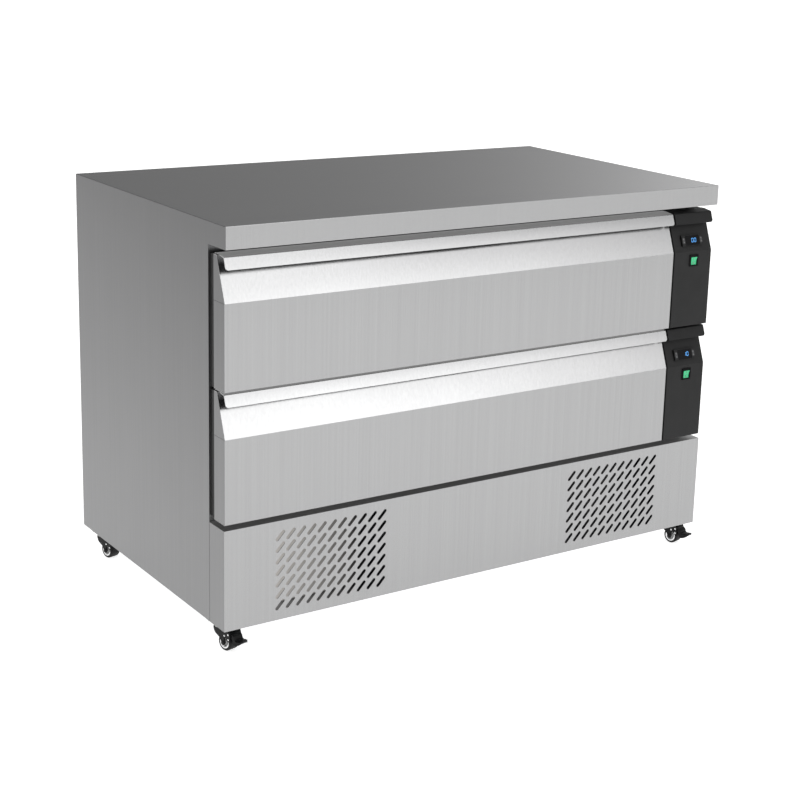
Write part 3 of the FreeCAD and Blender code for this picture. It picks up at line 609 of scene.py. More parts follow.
def makeDrawerFront(level):
    f = frontFacts
    low, high, top = frontBox(level)
    knee = top - f["knee"]
    leanTop = low.y + (high.z - knee) * f["lean"]
    body = "drawer_" + level

    def skin(bm):
        outline = [(high.y, low.z), (low.y, low.z), (low.y, knee), (leanTop, high.z), (high.y, high.z)]
        path = bentPath(outline, [f["cornerRound"], f["kneeRound"], f["cornerRound"]])
        back = offsetPath(path, f["sheet"])
        addPrism(bm, [tuple(p) for p in path + back[::-1]], low.x, high.x)
    piece = newPiece("frontSkin_" + level, skin)
    dress(piece, finish["steelFront"], body, ["drawer_front_" + level], f["skinEdge"], 2)

    inset = f["sheet"] + f["flangePlay"]
    for side in sides:
        x0 = low.x + f["flangeFromSide"] if side == "left" else high.x - f["sheet"]
        x1 = low.x + f["sheet"] if side == "left" else high.x - f["flangeFromSide"]

        def flange(bm):
            foot, seam, head = low.z + inset, knee - f["seam"], high.z - inset
            front, slant = low.y + inset, low.y + inset / math.cos(math.atan(f["lean"]))
            addPrism(bm, [(high.y, foot), (front, foot), (front, seam), (high.y, seam)], x0, x1)
            addPrism(bm, [(high.y, knee), (slant, knee), (leanTop + inset, head), (high.y, head)], x0, x1)
        piece = newPiece("frontFlange_%s_%s" % (side, level), flange)
        dress(piece, finish["steelSidePaintedShade"], body, [], f["flangeEdge"], 1)


def handleLine(level):
    # From the back of the handle over its top and the fold, down to the foot of the lip.
    f = frontFacts
    low, high, top = frontBox(level)
    bendY = low.y + (high.z - (top - f["knee"])) * f["lean"] - f["bendLead"]
    foldY = bendY - f["handleReach"]
    foldZ = top - f["handleDrop"]
    lip = f["handleLip"]
    return [(high.y, top), (bendY, top), (foldY, foldZ), (foldY - lip * f["lean"], foldZ - lip)]


def makeHandle(level):
    f = frontFacts
    low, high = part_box("drawer_handle_" + level)

    def build(bm):
        path = bentPath(handleLine(level), [f["handleBend"], f["foldRound"]])
        addBentStrip(bm, path, -f["handleSheet"], low.x, high.x, f["handleRound"], f["handleRound"])
    piece = newPiece("handleStrip_" + level, build)
    dress(piece, finish["steelFront"], "drawer_" + level, ["drawer_handle_" + level], f["handleEdge"], 2)
    # The faces that look up take the ledge copy, which is lighter and has painted light glowing on it.
    finishFaces(piece.data, {"up": finish["steelLedgePaintedLight"]})


gasketFacts = {
    "width": 14.0 * mm,
    "sharp": 80,
    # Section of the bellows, as shares of its width and of its depth
    "section": [(0.0, 0.0), (0.12, 0.06), (0.12, 0.3), (0.3, 0.38), (0.1, 0.5), (0.3, 0.62), (0.05, 0.72),
                (0.0, 0.85), (0.0, 1.0), (1.0, 1.0), (1.0, 0.85), (0.9, 0.72), (0.75, 0.62), (0.9, 0.5),
                (0.75, 0.38), (0.9, 0.3), (0.9, 0.06), (1.0, 0.0)],
}


def makeGasket(level):
    # The section is carried round the four sides with mitred corners.
    low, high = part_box("drawer_gasket_" + level)

    def build(bm):
        loops = []
        for across, along in gasketFacts["section"]:
            inset = across * gasketFacts["width"]
            y = low.y + along * (high.y - low.y)
            x0, x1, z0, z1 = low.x + inset, high.x - inset, low.z + inset, high.z - inset
            loops.append([bm.verts.new(p) for p in ((x0, y, z0), (x1, y, z0), (x1, y, z1), (x0, y, z1))])
        for i, loop in enumerate(loops):
            other = loops[(i + 1) % len(loops)]
            for k in range(4):
                n = (k + 1) % 4
                bm.faces.new((loop[k], loop[n], other[n], other[k]))
    piece = newPiece("gasket_" + level, build, gasketFacts["sharp"])
    dress(piece, finish["gasketBlack"], "drawer_" + level, ["drawer_gasket_" + level])


for level in levels:
    makeDrawerFront(level)
    makeHandle(level)
    makeGasket(level)
print("drawer fronts made")


# Control columns: a body, the brow that carries on the handle's line, and a web that closes its right part

columnFacts = {
    "bodyDrop": 0.4 * mm,
    "bodyRound": [0, 1.5 * mm, 3 * mm, 1.5 * mm, 0],
    "bodyEdge": 0.8 * mm,
    "lipWall": 3.0 * mm,
    "lipRound": 6.0 * mm,
    "browStart": 8 * mm,
    "browBends": [6 * mm, 3 * mm],
    "browEdge": 1.2 * mm,
    "web": 51.0 * mm,
    "webWall": 0.7,         # in lip walls
    "webLift": 3.5 * mm,
    "webDepth": 3 * mm,
    "webFromSide": 0.8 * mm,
    "webEdge": 1.0 * mm,
}


def makeColumn(level):
    f, c = frontFacts, columnFacts
    low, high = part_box("control_column_" + level)
    front, rear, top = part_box("drawer_front_" + level)[0].y, high.y, high.z
    knee = top - f["knee"]
    leanTop = front + f["knee"] * f["lean"]
    line = handleLine(level)

    def body(bm):
        head = top - c["bodyDrop"]
        outline = [(rear, low.z), (front, low.z), (front, knee), (leanTop, head), (rear, head)]
        addPrism(bm, roundCorners(outline, c["bodyRound"], steps=4), low.x, high.x)
    piece = newPiece("columnBody_" + level, body)
    dress(piece, finish["blackMould"], "root", ["control_column_" + level], c["bodyEdge"], 3)

    def brow(bm):
        path = bentPath([(leanTop + c["browStart"], top)] + line[1:], c["browBends"])
        addBentStrip(bm, path, -c["lipWall"], low.x, high.x, 0, c["lipRound"])
    dress(newPiece("columnBrow_" + level, brow), finish["blackMould"], "root", [], c["browEdge"], 3)

    def web(bm):
        bend, fold, end = line[1], line[2], line[3]
        wall = c["lipWall"] * c["webWall"]
        lift = c["webLift"]
        foot = end[1] + lift
        outline = [(bend[0], top - wall), (fold[0] + wall, fold[1] - wall),
                   (end[0] + wall + lift * f["lean"], foot),
                   (front + (foot - knee) * f["lean"] + c["webDepth"], foot),
                   (leanTop + c["webDepth"], top - wall)]
        addPrism(bm, outline, high.x - c["web"], high.x - c["webFromSide"])
    dress(newPiece("columnWeb_" + level, web), finish["blackMould"], "root", [], c["webEdge"], 3)


def slantFrame(level):
    # Local axes of the leaning face at the middle of the controller: x right, y inwards, z up the slope.
    lean = frontFacts["lean"]
    middle = (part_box("key_left_" + level)[0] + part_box("key_right_" + level)[1]) / 2
    turn = Matrix.Rotation(-math.atan(lean), 4, "X")
    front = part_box("drawer_front_" + level)[0].y
    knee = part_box("control_column_" + level)[1].z - frontFacts["knee"]
    face = Vector((middle.x, front + (middle.z - knee) * lean, middle.z))
    # The keys stand proud of the face, so the foot of their normal is a little higher than their middle.
    inwards = turn @ alongY
    return Matrix.Translation(middle + inwards * (face - middle).dot(inwards)) @ turn


controllerFacts = {
    "size": (62.0 * mm, 26.0 * mm),
    "corner": 2.5 * mm,
    "proud": 4.0 * mm,
    "plate": 0.9 * mm,          # how far the plate lies behind its rims
    "rimDepth": 1.2 * mm,
    "rimGap": 0.2 * mm,
    "rimFromSide": 2.0 * mm,
    "rimFromEdge": 0.5 * mm,
    "rimShort": 1.2 * mm,
    "bezelEdge": 0.35 * mm,
    "window": (41.0 * mm, 22.0 * mm),
    "windowRound": 0.8 * mm,
    "windowDepth": (0.45 * mm, 1.0 * mm),   # its front and rear behind the rims
    "windowEdge": 0.15 * mm,
    "keyPitch": 25.7 * mm,
    "key": (7.0 * mm, 14.0 * mm),
    "keyRound": 2.2 * mm,
    "keyDepth": 2.0 * mm,
    "keyProud": 0.6 * mm,
    "keyGap": 0.4 * mm,
    "keyEdge": 0.4 * mm,
    "mark": 1.5 * mm,
    "markHeight": 3.6 * mm,
    "markProud": 0.05 * mm,
    "markDepth": 0.3 * mm,
    "digits": {"upper": "00", "lower": "10"},
    "digitSize": (5.2 * mm, 8.6 * mm),
    "digitPitch": 7.8 * mm,
    "digitShift": 4.5 * mm,
    "digitDepth": (0.3 * mm, 0.2 * mm),     # how far the figures lie behind the rims, and their thickness
    "digitLean": 0.10,
    "stroke": 1.35 * mm,
    "strokeGap": 0.6,           # in strokes
    "strokePoint": 0.45,
}

# Strokes lit for each figure: top, upper left, upper right, middle, lower left, lower right, foot
segmentTable = {
    "0": "1110111", "1": "0010010", "2": "1011101", "3": "1011011", "4": "0111010",
    "5": "1101011", "6": "1101111", "7": "1010010", "8": "1111111", "9": "1111011",
}


def addDigit(bm, figure, centreX, y):
    c = controllerFacts
    stroke = c["stroke"]
    right, top = c["digitSize"][0] / 2, c["digitSize"][1] / 2
    bars = [((-right, top), (right, top)), ((-right, top), (-right, 0)), ((right, top), (right, 0)),
            ((-right, 0), (right, 0)), ((-right, 0), (-right, -top)), ((right, 0), (right, -top)),
            ((-right, -top), (right, -top))]
    for ends, lit in zip(bars, segmentTable[figure]):
        if lit == "0":
            continue
        start, end = (Vector(p) for p in ends)
        along = (end - start).normalized() * stroke
        across = Vector((-along.y, along.x)) / 2
        start, end = start + along * c["strokeGap"], end - along * c["strokeGap"]
        tip = along * c["strokePoint"]
        bar = [start - tip, start + across, end + across, end + tip, end - across, start - across]
        outline = [(centreX + p.x + p.y * c["digitLean"], p.y) for p in bar]
        addPlate(bm, outline, y, y + c["digitDepth"][1])


def makeController(level):
    c = controllerFacts
    place = slantFrame(level)
    face = -c["proud"]
    half, tall = c["size"][0] / 2, c["size"][1] / 2
    innerHalf, innerTall = c["window"][0] / 2, c["window"][1] / 2

    def bezel(bm):
        # A rounded plate with raised rims round the window and the keys.
        addPlate(bm, rectangle(c["size"], c["corner"]), face + c["plate"], 0.0)
        near, far = innerTall + c["rimGap"], tall - c["rimFromEdge"]
        reach, rear = half - c["rimFromSide"], face + c["rimDepth"]
        for low, high in ((near, far), (-far, -near)):
            addSlab(bm, (-reach, face, low), (reach, rear, high))
        keyHalf = c["key"][0] / 2 + c["keyGap"]
        upright = innerTall - c["rimShort"]
        for sign in (-1, 1):
            for one, two in ((innerHalf + c["rimGap"], c["keyPitch"] - keyHalf),
                             (c["keyPitch"] + keyHalf, half - c["rimFromEdge"])):
                x = sorted((sign * one, sign * two))
                addSlab(bm, (x[0], face, -upright), (x[1], rear, upright))
    shell = newPiece("controllerBezel_" + level, lambda bm: shifted(bm, bezel, place))
    dress(shell, finish["blackGloss"], "root", [], c["bezelEdge"], 2)

    def pane(bm):
        front, rear = c["windowDepth"]
        addPlate(bm, rectangle(c["window"], c["windowRound"]), face + front, face + rear)
    window = newPiece("controllerWindow_" + level, lambda bm: shifted(bm, pane, place))
    dress(window, finish["blackGloss"], "root", [], c["windowEdge"], 1)

    def figures(bm):
        text = c["digits"][level]
        for i, figure in enumerate(text):
            x = (i - (len(text) - 1) / 2) * c["digitPitch"] + c["digitShift"]
            addDigit(bm, figure, x, face + c["digitDepth"][0])
    lit = newPiece("controllerDigits_" + level, lambda bm: shifted(bm, figures, place))
    dress(lit, finish["digitBlue"], "root")

    for side, sign in (("left", -1), ("right", 1)):
        node = "key_%s_%s" % (side, level)
        middle = sign * c["keyPitch"]
        front = face - c["keyProud"]

        def key(bm):
            outline = [(x + middle, z) for x, z in rectangle(c["key"], c["keyRound"])]
            addPlate(bm, outline, front, front + c["keyDepth"])
        pad = newPiece("controllerKey_%s_%s" % (side, level), lambda bm: shifted(bm, key, place))
        dress(pad, finish["keyGrey"], node, [node], c["keyEdge"], 2)

        def marks(bm):
            # A small triangle at each end of the key, pointing away from its middle.
            a = c["mark"]
            for tip in (1, -1):
                z = tip * c["markHeight"]
                foot = z - tip * a / 2
                outline = [(middle - a, foot), (middle + a, foot), (middle, z + tip * a)]
                addPlate(bm, outline, front - c["markProud"], front - c["markProud"] + c["markDepth"])
        mark = newPiece("keyMarks_%s_%s" % (side, level), lambda bm: shifted(bm, marks, place))
        dress(mark, finish["markGrey"], node)


switchFacts = {
    "bezel": (25.0 * mm, 26.0 * mm),
    "proud": 2.2 * mm,
    "bezelEdge": 0.3 * mm,
    "floor": (0.2 * mm, 0.5 * mm),              # its front and rear behind the column's face
    "opening": (17.6 * mm, 21.2 * mm),
    "belowKnee": 20.5 * mm,
    "lens": (17.0 * mm, 18.0 * mm),
    "lensSteps": 8,
    "lensRear": 0.3,                            # half height of the lens's back, in heights
    "lensEdge": 0.35 * mm,
    "dish": 1.4 * mm,
    "tilt": 9.0,                                # in degrees, as it stands when on
    "pivotDepth": 6.0 * mm,
    "depth": 9.0 * mm,                          # of the lens
    "markSunk": 0.25 * mm,
    "markDepth": 0.6 * mm,
    "bar": (0.5 * mm, 3.2 * mm, 7.0 * mm),      # half width, foot and head
    "ring": (1.178 * mm, 1.9 * mm),             # inner and outer radius
    "ringSunk": 0.1 * mm,
    "ringHeight": -5.0 * mm,
    "ringSides": 20,
}


def makeSwitch(level):
    s = switchFacts
    low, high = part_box("rocker_" + level)
    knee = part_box("control_column_" + level)[1].z - frontFacts["knee"]
    centre = Vector(((low.x + high.x) / 2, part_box("drawer_front_" + level)[0].y, knee - s["belowKnee"]))
    body = "rocker_" + level

    def bezel(bm):
        # Four bars round the opening, and a floor in it.
        w, h = s["bezel"][0] / 2, s["bezel"][1] / 2
        a, b = s["opening"][0] / 2, s["opening"][1] / 2
        front, rear = s["floor"]
        for x0, x1, z0, z1 in ((-w, w, b, h), (-w, w, -h, -b), (-w, -a, -b, b), (a, w, -b, b)):
            addSlab(bm, centre + Vector((x0, -s["proud"], z0)), centre + Vector((x1, rear, z1)))
        addSlab(bm, centre + Vector((-a, front, -b)), centre + Vector((a, rear, b)))
    dress(newPiece("switchBezel_" + level, bezel), finish["blackGloss"], "root", [], s["bezelEdge"], 2)

    pivot = Vector((0, s["pivotDepth"], 0))
    turn = Matrix.Translation(centre + pivot) @ Matrix.Rotation(math.radians(s["tilt"]), 4, "X")
    turn = turn @ Matrix.Translation(-pivot)

    def lens(bm):
        half = s["lens"][1] / 2
        front, rear = -s["proud"], -s["proud"] + s["depth"]
        heights = [half - 2 * half * step / s["lensSteps"] for step in range(s["lensSteps"] + 1)]
        dished = [(front + s["dish"] * (1 - (z / half) ** 2), z) for z in heights]
        back = s["lens"][1] * s["lensRear"]
        addPrism(bm, dished + [(rear, -back), (rear, back)], -s["lens"][0] / 2, s["lens"][0] / 2)
    piece = newPiece("rockerLens_" + level, lambda bm: shifted(bm, lens, turn))
    dress(piece, finish["lensGreen"], body, [body], s["lensEdge"], 2)

    def marks(bm):
        # An upright bar above, and a ring below.
        front = -s["proud"] + s["markSunk"]
        half, foot, head = s["bar"]
        addSlab(bm, (-half, front, foot), (half, front + s["markDepth"], head))
        hole, rim = s["ring"]
        near = front + s["ringSunk"]
        section = [(rim, near), (hole, near), (hole, near + s["markDepth"]), (rim, near + s["markDepth"])]
        loops = []
        for k in range(s["ringSides"]):
            angle = 2 * math.pi * k / s["ringSides"]
            loops.append([bm.verts.new((r * math.cos(angle), y, r * math.sin(angle) + s["ringHeight"]))
                          for r, y in section])
        for one, two in zip(loops, loops[1:] + loops[:1]):
            joinPair(bm, one, two)
    dress(newPiece("rockerMarks_" + level, lambda bm: shifted(bm, marks, turn)), finish["markGrey"], body)


for level in levels:
    makeColumn(level)
    makeController(level)
    makeSwitch(level)
print("control columns made")


# Castors

castorFacts = {
    "wheelRadius": 18.0 * mm,
    "wheelWidth": 24.0 * mm,
    "shoulder": 3.0 * mm,
    "shoulderSteps": 7,
    "tyreFoot": [(0.9, -0.3), (0.2, 0.2), (0.0, 0.8)],    # in mm, inwards and out from the rim's edge
    "rimRadius": 13.0 * mm,
    "rimFace": [(-0.9, -0.1), (-0.1, -0.3), (-0.05, -2.9), (-0.5, -3.6)],    # in mm from the same edge
    "rimDish": [(0.0, 0.6), (-1.2, 0.2)],                 # in mm from the dish's edge
    "rimSides": 72,
    "dishRadius": 7.6 * mm,
    "dishDepth": 4.0 * mm,
    "hubFace": [(1.0, 0.0), (1.0, 4.6), (1.5, 5.2)],      # in mm, from the wheel's side and from its axis
    "hubFoot": (5.8 * mm, 0.5 * mm),                      # its radius in the dish and its reach under the rim
    "hubSunk": 0.8 * mm,
    "spokes": 5,
    "spoke": (5.0 * mm, 9.2 * mm),                        # its two ends, out from the axis
    "spokeHalf": 0.7 * mm,
    "spokeRise": 1.6 * mm,
    "spokeSunk": 1.0 * mm,
    "trail": 20.0 * mm,
    "turn": 14.0,                           # in degrees, as the castors stand at rest
    "cheekGap": 0.9 * mm,
    "cheek": 2.5 * mm,
    "crown": (44.0 * mm, 48.0 * mm),
    "crownGap": 0.3 * mm,       # from the fork's crown up to the race's step
    "crownOverlap": 0.1 * mm,
    # Plate behind the wheel: its thickness, and how far it comes below the crown outside and inside
    "apron": (2.0 * mm, 6 * mm, 5 * mm),
    "forkEdge": 0.6 * mm,
    "raceRadius": 13.5 * mm,
    "raceTop": 50.7 * mm,
    "raceWaist": (1.2 * mm, 1.0 * mm),      # how much slimmer it is at the crown's two heights
    "raceStep": 0.6 * mm,
    "raceRound": (0.5 * mm, 0.6 * mm),
    "axleHead": 5.5 * mm,
    "axleLine": [(2.0, 0), (2.0, 0.5), (1.3, 0.85), (0, 1)],    # in mm out from the fork, and in head radii
    "axleBore": 3.5 * mm,
    "axleSides": 32,
    # Side outline of a cheek, forward of and above the axle in wheel radii, and each corner's radius in mm
    "cheekLine": [(-1.6, 1.62, 1.5), (-1.6, 1.30, 6), (-1.36, 0.85, 8), (-0.66, 0.50, 5), (-0.30, 0.02, 3),
                  (-0.16, -0.32, 2.2), (0.14, -0.32, 2.2), (0.26, 0.05, 2.5), (0.26, 0.35, 4),
                  (0.12, 0.70, 2.5), (0.50, 0.62, 5), (0.84, 0.27, 2), (1.02, 0.46, 2.5), (1.08, 1.05, 6),
                  (0.96, 1.40, 4), (0.72, 1.64, 3)],
    "rivets": [(0.22, 0.92), (0.86, 0.62)],
    "rivetRadius": 2.1 * mm,
    "rivetLine": [(-0.3, 0), (-0.3, 1), (0.3, 1), (0.9, 0.6), (1.0, 0)],    # in mm, and in rivet radii
    "rivetSides": 20,
    "pin": (15.0 * mm, 21.0 * mm),          # the pedal's pin, forward of and above the axle
    "pinRadius": 1.8 * mm,
    "pinProud": 0.4 * mm,
    "pinSides": 24,
    "barrel": 3.5 * mm,                     # radius of the pedal's tube on its pin
    "barrelBore": 2.0 * mm,
    "barrelRound": 0.3 * mm,
    "barrelPlay": 0.2 * mm,
}


def castorPlace(corner):
    # The castor's own frame: its swivel axis on the floor, forward along -Y, turned as it stands at rest.
    low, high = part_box("castor_wheel_" + corner)
    turn = Matrix.Rotation(math.radians(castorFacts["turn"]), 4, "Z")
    wheel = (low + high) / 2
    swivel = Vector((wheel.x, wheel.y, 0.0)) - turn @ Vector((0, -castorFacts["trail"], 0))
    return Matrix.Translation(swivel) @ turn


def castorPiece(name, build, corner, sharp=32):
    return newPiece(name + "_" + corner, lambda bm: shifted(bm, build, castorPlace(corner)), sharp)


def addRib(bm, centre, x, turn):
    # A short web from the hub out across the dish.
    c = castorFacts
    along = Vector((0, math.cos(turn), math.sin(turn)))
    across = Vector((0, -math.sin(turn), math.cos(turn))) * c["spokeHalf"]
    foot = centre + Vector((x, 0, 0))
    start, end = (foot + along * reach for reach in c["spoke"])
    rise = Vector((math.copysign(c["spokeRise"], x), 0, 0))
    outline = [start - across, end - across, end + across, start + across]
    low = [bm.verts.new(p) for p in outline]
    joinLoops(bm, [[bm.verts.new(p + rise) for p in outline], low])


def makeWheel(corner):
    c = castorFacts
    radius, half, rim, dish = c["wheelRadius"], c["wheelWidth"] / 2, c["rimRadius"], c["dishRadius"]
    centre = Vector((0, -c["trail"], radius))
    body = "wheel_" + corner

    def tyre(bm):
        shoulder, steps = c["shoulder"], c["shoulderSteps"]
        profile = fromPoint((-half, rim), c["tyreFoot"])
        for step in range(steps + 1):
            turn = math.pi / 2 * step / steps
            inwards, down = shoulder * (1 - math.cos(turn)), shoulder * (1 - math.sin(turn))
            profile.append((-half + inwards, radius - down))
        profile = mirrored(profile)
        addLathe(bm, profile + profile[:1], centre, alongX, c["rimSides"])
    dress(castorPiece("tyre", tyre, corner, sharp=50), finish["tyreBlack"], body, ["castor_wheel_" + corner])

    def rimRing(bm):
        # Bright dished ring on both faces.
        face = fromPoint((half, rim), c["rimFace"])
        hollow = fromPoint((half - c["dishDepth"], dish), c["rimDish"])
        profile = face + hollow + [(hollow[-1][0], face[0][1]), face[0]]
        for sign in (-1, 1):
            addLathe(bm, [(sign * x, r) for x, r in profile], centre, alongX, c["rimSides"])
    dress(castorPiece("rim", rimRing, corner, sharp=40), finish["hubSilver"], body)

    def hub(bm):
        inner = half - c["dishDepth"] - c["hubSunk"]
        foot, overlap = c["hubFoot"]
        profile = fromPoint((-half, 0.0), c["hubFace"]) + [(-inner, foot), (-inner, dish + overlap)]
        addLathe(bm, mirrored(profile), centre, alongX)
        for sign in (-1, 1):
            for spoke in range(c["spokes"]):
                x = sign * (half - c["dishDepth"] - c["spokeSunk"])
                addRib(bm, centre, x, 2 * math.pi * spoke / c["spokes"])
    dress(castorPiece("hub", hub, corner, sharp=35), finish["hubGrey"], body)


def makeFork(corner):
    c = castorFacts
    radius = c["wheelRadius"]
    inner = c["wheelWidth"] / 2 + c["cheekGap"]
    outer = inner + c["cheek"]
    axle = Vector((0, -c["trail"], radius))
    body = "castor_" + corner

    def fork(bm):
        points = [(axle.y - forward * radius, radius + up * radius) for forward, up, soft in c["cheekLine"]]
        outline = roundCorners(points, [soft * mm for forward, up, soft in c["cheekLine"]], steps=4)
        addPrism(bm, outline, -outer, -inner)
        addPrism(bm, outline, inner, outer)
        rear, lead = points[0][0], points[-1][0]
        low, top = c["crown"][0], c["crown"][1] - c["crownGap"]
        reach = inner + c["crownOverlap"]
        addPrism(bm, [(rear, low), (rear, top), (lead, top), (lead, low)], -reach, reach)
        # Apron that closes the fork behind the wheel, under the crown.
        wall, outside, inside = c["apron"]
        addPrism(bm, [(rear, top), (rear - wall, top), (rear - wall, low - outside), (rear, low - inside)],
                 -reach, reach)
    piece = castorPiece("forkShell", fork, corner)
    dress(piece, finish["castorBlack"], body, ["castor_fork_" + corner], c["forkEdge"], 3)

    def race(bm):
        reach, top = c["raceRadius"], c["raceTop"]
        low, high = c["crown"]
        foot, neck = c["raceWaist"]
        drop, cut = c["raceRound"]
        profile = [(low, 0), (low, reach - foot), (high, reach - neck), (high + c["raceStep"], reach),
                   (top - drop, reach), (top, reach - cut), (top, 0)]
        addLathe(bm, profile, (0, 0, 0), alongZ)
    dress(castorPiece("forkRace", race, corner, sharp=35), finish["zincPlate"], body)

    def axleEnds(bm):
        profile = [(-outer - out * mm, c["axleHead"] * share) for out, share in c["axleLine"]]
        addLathe(bm, mirrored(profile + [(-outer, c["axleBore"])]), axle, alongX, c["axleSides"])
    dress(castorPiece("forkAxle", axleEnds, corner, sharp=35), finish["castorBlack"], body)

    def rivets(bm):
        for forward, up in c["rivets"]:
            at = axle + Vector((0, -forward * radius, up * radius))
            for sign in (-1, 1):
                profile = [(sign * (outer + out * mm), c["rivetRadius"] * share)
                           for out, share in c["rivetLine"]]
                addLathe(bm, profile, at, alongX, c["rivetSides"])
        if corner.startswith("front"):
            pin = axle + Vector((0, -c["pin"][0], c["pin"][1]))
            reach = outer + c["pinProud"]
            addLathe(bm, mirrored([(-reach, 0), (-reach, c["pinRadius"])]), pin, alongX, c["pinSides"])
    dress(castorPiece("forkRivets", rivets, corner, sharp=35), finish["hubSilver"], body)


pedalFacts = {
    # Side outline from the pin, forward and up in mm, with the radius of each corner
    "line": [(-1.0, 3.2, 1.2), (7.5, 1.6, 5), (11.8, -1.8, 3.5), (13.6, -8.2, 3.5), (19.0, -9.8, 6),
             (27.0, -8.4, 8), (32.6, -7.0, 0.9), (32.8, -9.0, 0.9), (28.0, -14.0, 8), (20.0, -18.3, 10),
             (11.2, -20.3, 2.0), (9.6, -18.8, 1.2), (9.0, -15.0, 4), (6.0, -8.0, 6), (0.0, -3.0, 1.5)],
    # Half width at each distance forward of the pin, in mm
    "plan": [(-2.0, 12.2), (4.0, 12.2), (8.0, 11.2), (16.0, 11.4), (22.0, 12.4), (29.0, 10.8), (31.5, 8.0),
             (33.0, 5.6)],
    "crown": 0.8 * mm,          # how far the sides lie below the middle
    "crownReach": 14 * mm,
    "stations": 10,
    "edge": 0.5 * mm,
    # Two low ribs across the bill, where the shoe presses: forward and up in mm, and their section in mm
    "ribs": [(23.5, -9.2), (27.5, -8.5)],
    "ribLine": [(-0.8, -1.0), (-0.5, 0.5), (0.5, 0.6), (0.8, -0.8)],
    "ribInset": 2.0 * mm,
}


def pedalHalf(forward):
    plan = pedalFacts["plan"]
    for (f0, h0), (f1, h1) in zip(plan[:-1], plan[1:]):
        if forward <= f1:
            share = max(0.0, (forward - f0) / (f1 - f0))
            share = share * share * (3 - 2 * share)
            return (h0 + (h1 - h0) * share) * mm
    return plan[-1][1] * mm


def makePedal(corner):
    # A moulded lever that comes over the tyre and ends in a rounded, upturned bill.
    c, p = castorFacts, pedalFacts
    pin = Vector((0, -c["trail"] - c["pin"][0], c["wheelRadius"] + c["pin"][1]))
    points, radii = [(f * mm, u * mm) for f, u, r in p["line"]], [r * mm for f, u, r in p["line"]]
    line = roundCorners(points, radii, steps=5)
    body = "pedal_" + corner

    def lever(bm):
        loops = []
        for k in range(p["stations"] + 1):
            across = -1 + 2 * k / p["stations"]
            loop = []
            for forward, up in line:
                x = across * pedalHalf(forward / mm)
                drop = p["crown"] * across ** 4 * max(0.0, min(1.0, forward / p["crownReach"]))
                loop.append(bm.verts.new((x, pin.y - forward, pin.z + up - drop)))
            loops.append(loop)
        joinLoops(bm, loops)
        for forward, top in p["ribs"]:
            half = pedalHalf(forward) - p["ribInset"]
            outline = [(pin.y - (forward + ahead) * mm, pin.z + (top + up) * mm)
                       for ahead, up in p["ribLine"]]
            addPrism(bm, outline, -half, half)
    piece = castorPiece("brakePedal", lever, corner, sharp=40)
    dress(piece, finish["castorBlack"], body, ["brake_pedal_" + corner], p["edge"], 2)

    def barrel(bm):
        half = c["wheelWidth"] / 2 + c["cheekGap"] - c["barrelPlay"]
        radius, bore, soft = c["barrel"], c["barrelBore"], c["barrelRound"]
        profile = mirrored([(-half, bore), (-half, radius - soft), (-half + soft, radius)])
        addLathe(bm, profile + profile[:1], pin, alongX, c["axleSides"])
    dress(castorPiece("pedalBarrel", barrel, corner, sharp=40), finish["castorBlack"], body)


for corner in corners:
    makeFork(corner)
    makeWheel(corner)
    if corner.startswith("front"):
        makePedal(corner)
print("castors made")


# The close pressed fins of the coils that the grilles look onto

finFacts = {
    "pitch": 2.6 * mm,
    "sheet": 0.25 * mm,
    "inset": 1.6 * mm,
    "depth": 11.0 * mm,
    "margin": 3.0 * mm,
    "wave": 0.5 * mm,
    "tone": {"dark": (0.30, 0.29, 0.28), "light": (0.40, 0.39, 0.38), "rough": 0.5, "grain": 0.004,
             "bump": 0.05, "metallic": 0.6},
    "paintedLight": 0.30,               # painted light: a glow for the light that reaches the left coil from the open foot of the bay
    "paintedLightTone": (1.0, 0.96, 0.92),
    "paintedLightRange": (-0.46, -0.27),
}


def makeFinTone(side):
    material = makePlain("finTone_" + side, **finFacts["tone"])
    # Painted light: the left coil glows, fading out along X, for light from the open foot of the bay.
    if side == "left":
        nodes, links = material.node_tree.nodes, material.node_tree.links
        shader = nodes["Principled BSDF"]
        share = fadeAlong(nodes, links, "X", finFacts["paintedLight"], 0.0, *finFacts["paintedLightRange"])
        shader.inputs["Emission Color"].default_value = (*finFacts["paintedLightTone"], 1)
        links.new(share, shader.inputs["Emission Strength"])
    return material


def makeCoilFins(side):
    f = finFacts
    low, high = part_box("condenser_" + side)
    near, far = low.y + f["inset"], low.y + f["depth"]

    def fins(bm):
        count = int((high.x - low.x - 2 * f["margin"]) / f["pitch"])
        for i in range(count + 1):
            x = low.x + f["margin"] + i * f["pitch"]
            outline = [(x, near), (x + f["sheet"], near), (x + f["sheet"] + f["wave"], (near + far) / 2),
                       (x + f["sheet"], far), (x, far), (x + f["wave"], (near + far) / 2)]
            addPost(bm, outline, low.z + f["margin"], high.z - f["margin"])
    dress(newPiece("coilFins_" + side, fins), makeFinTone(side), "root")


for side in sides:
    makeCoilFins(side)
print("coil fins made")


# Finishes of the nodes that keep their CAD shape, by how their names begin; the longest match counts

nodeFinish = {
    "back_panel": "steelSidePaintedShade", "face_frame": "steelSidePaintedShade", "cabinet_foam": "foamCream",
    "base_frame": "galvanised", "base_cover": "steelFront", "fixed_runners": "zincPlate",
    "duct_panels": "steelInner", "evaporators": "finMetal", "fan_motors": "motorBlack",
    "controllers": "blackMould", "switch_housings": "blackMould", "castor_plates": "zincPlate",
    "cable_gland": "blackMould", "liner": "steelInner", "evaporator_fan": "blackMould",
    "condenser_fan": "blackMould", "drawer_foam": "foamCream", "drawer_inner_panel": "gasketBlack",
    "drawer_box": "steelInner", "drawer_runners": "zincPlate", "middle_runners": "zincPlate",
    "compressor": "motorBlack", "condenser": "finMetal",
}


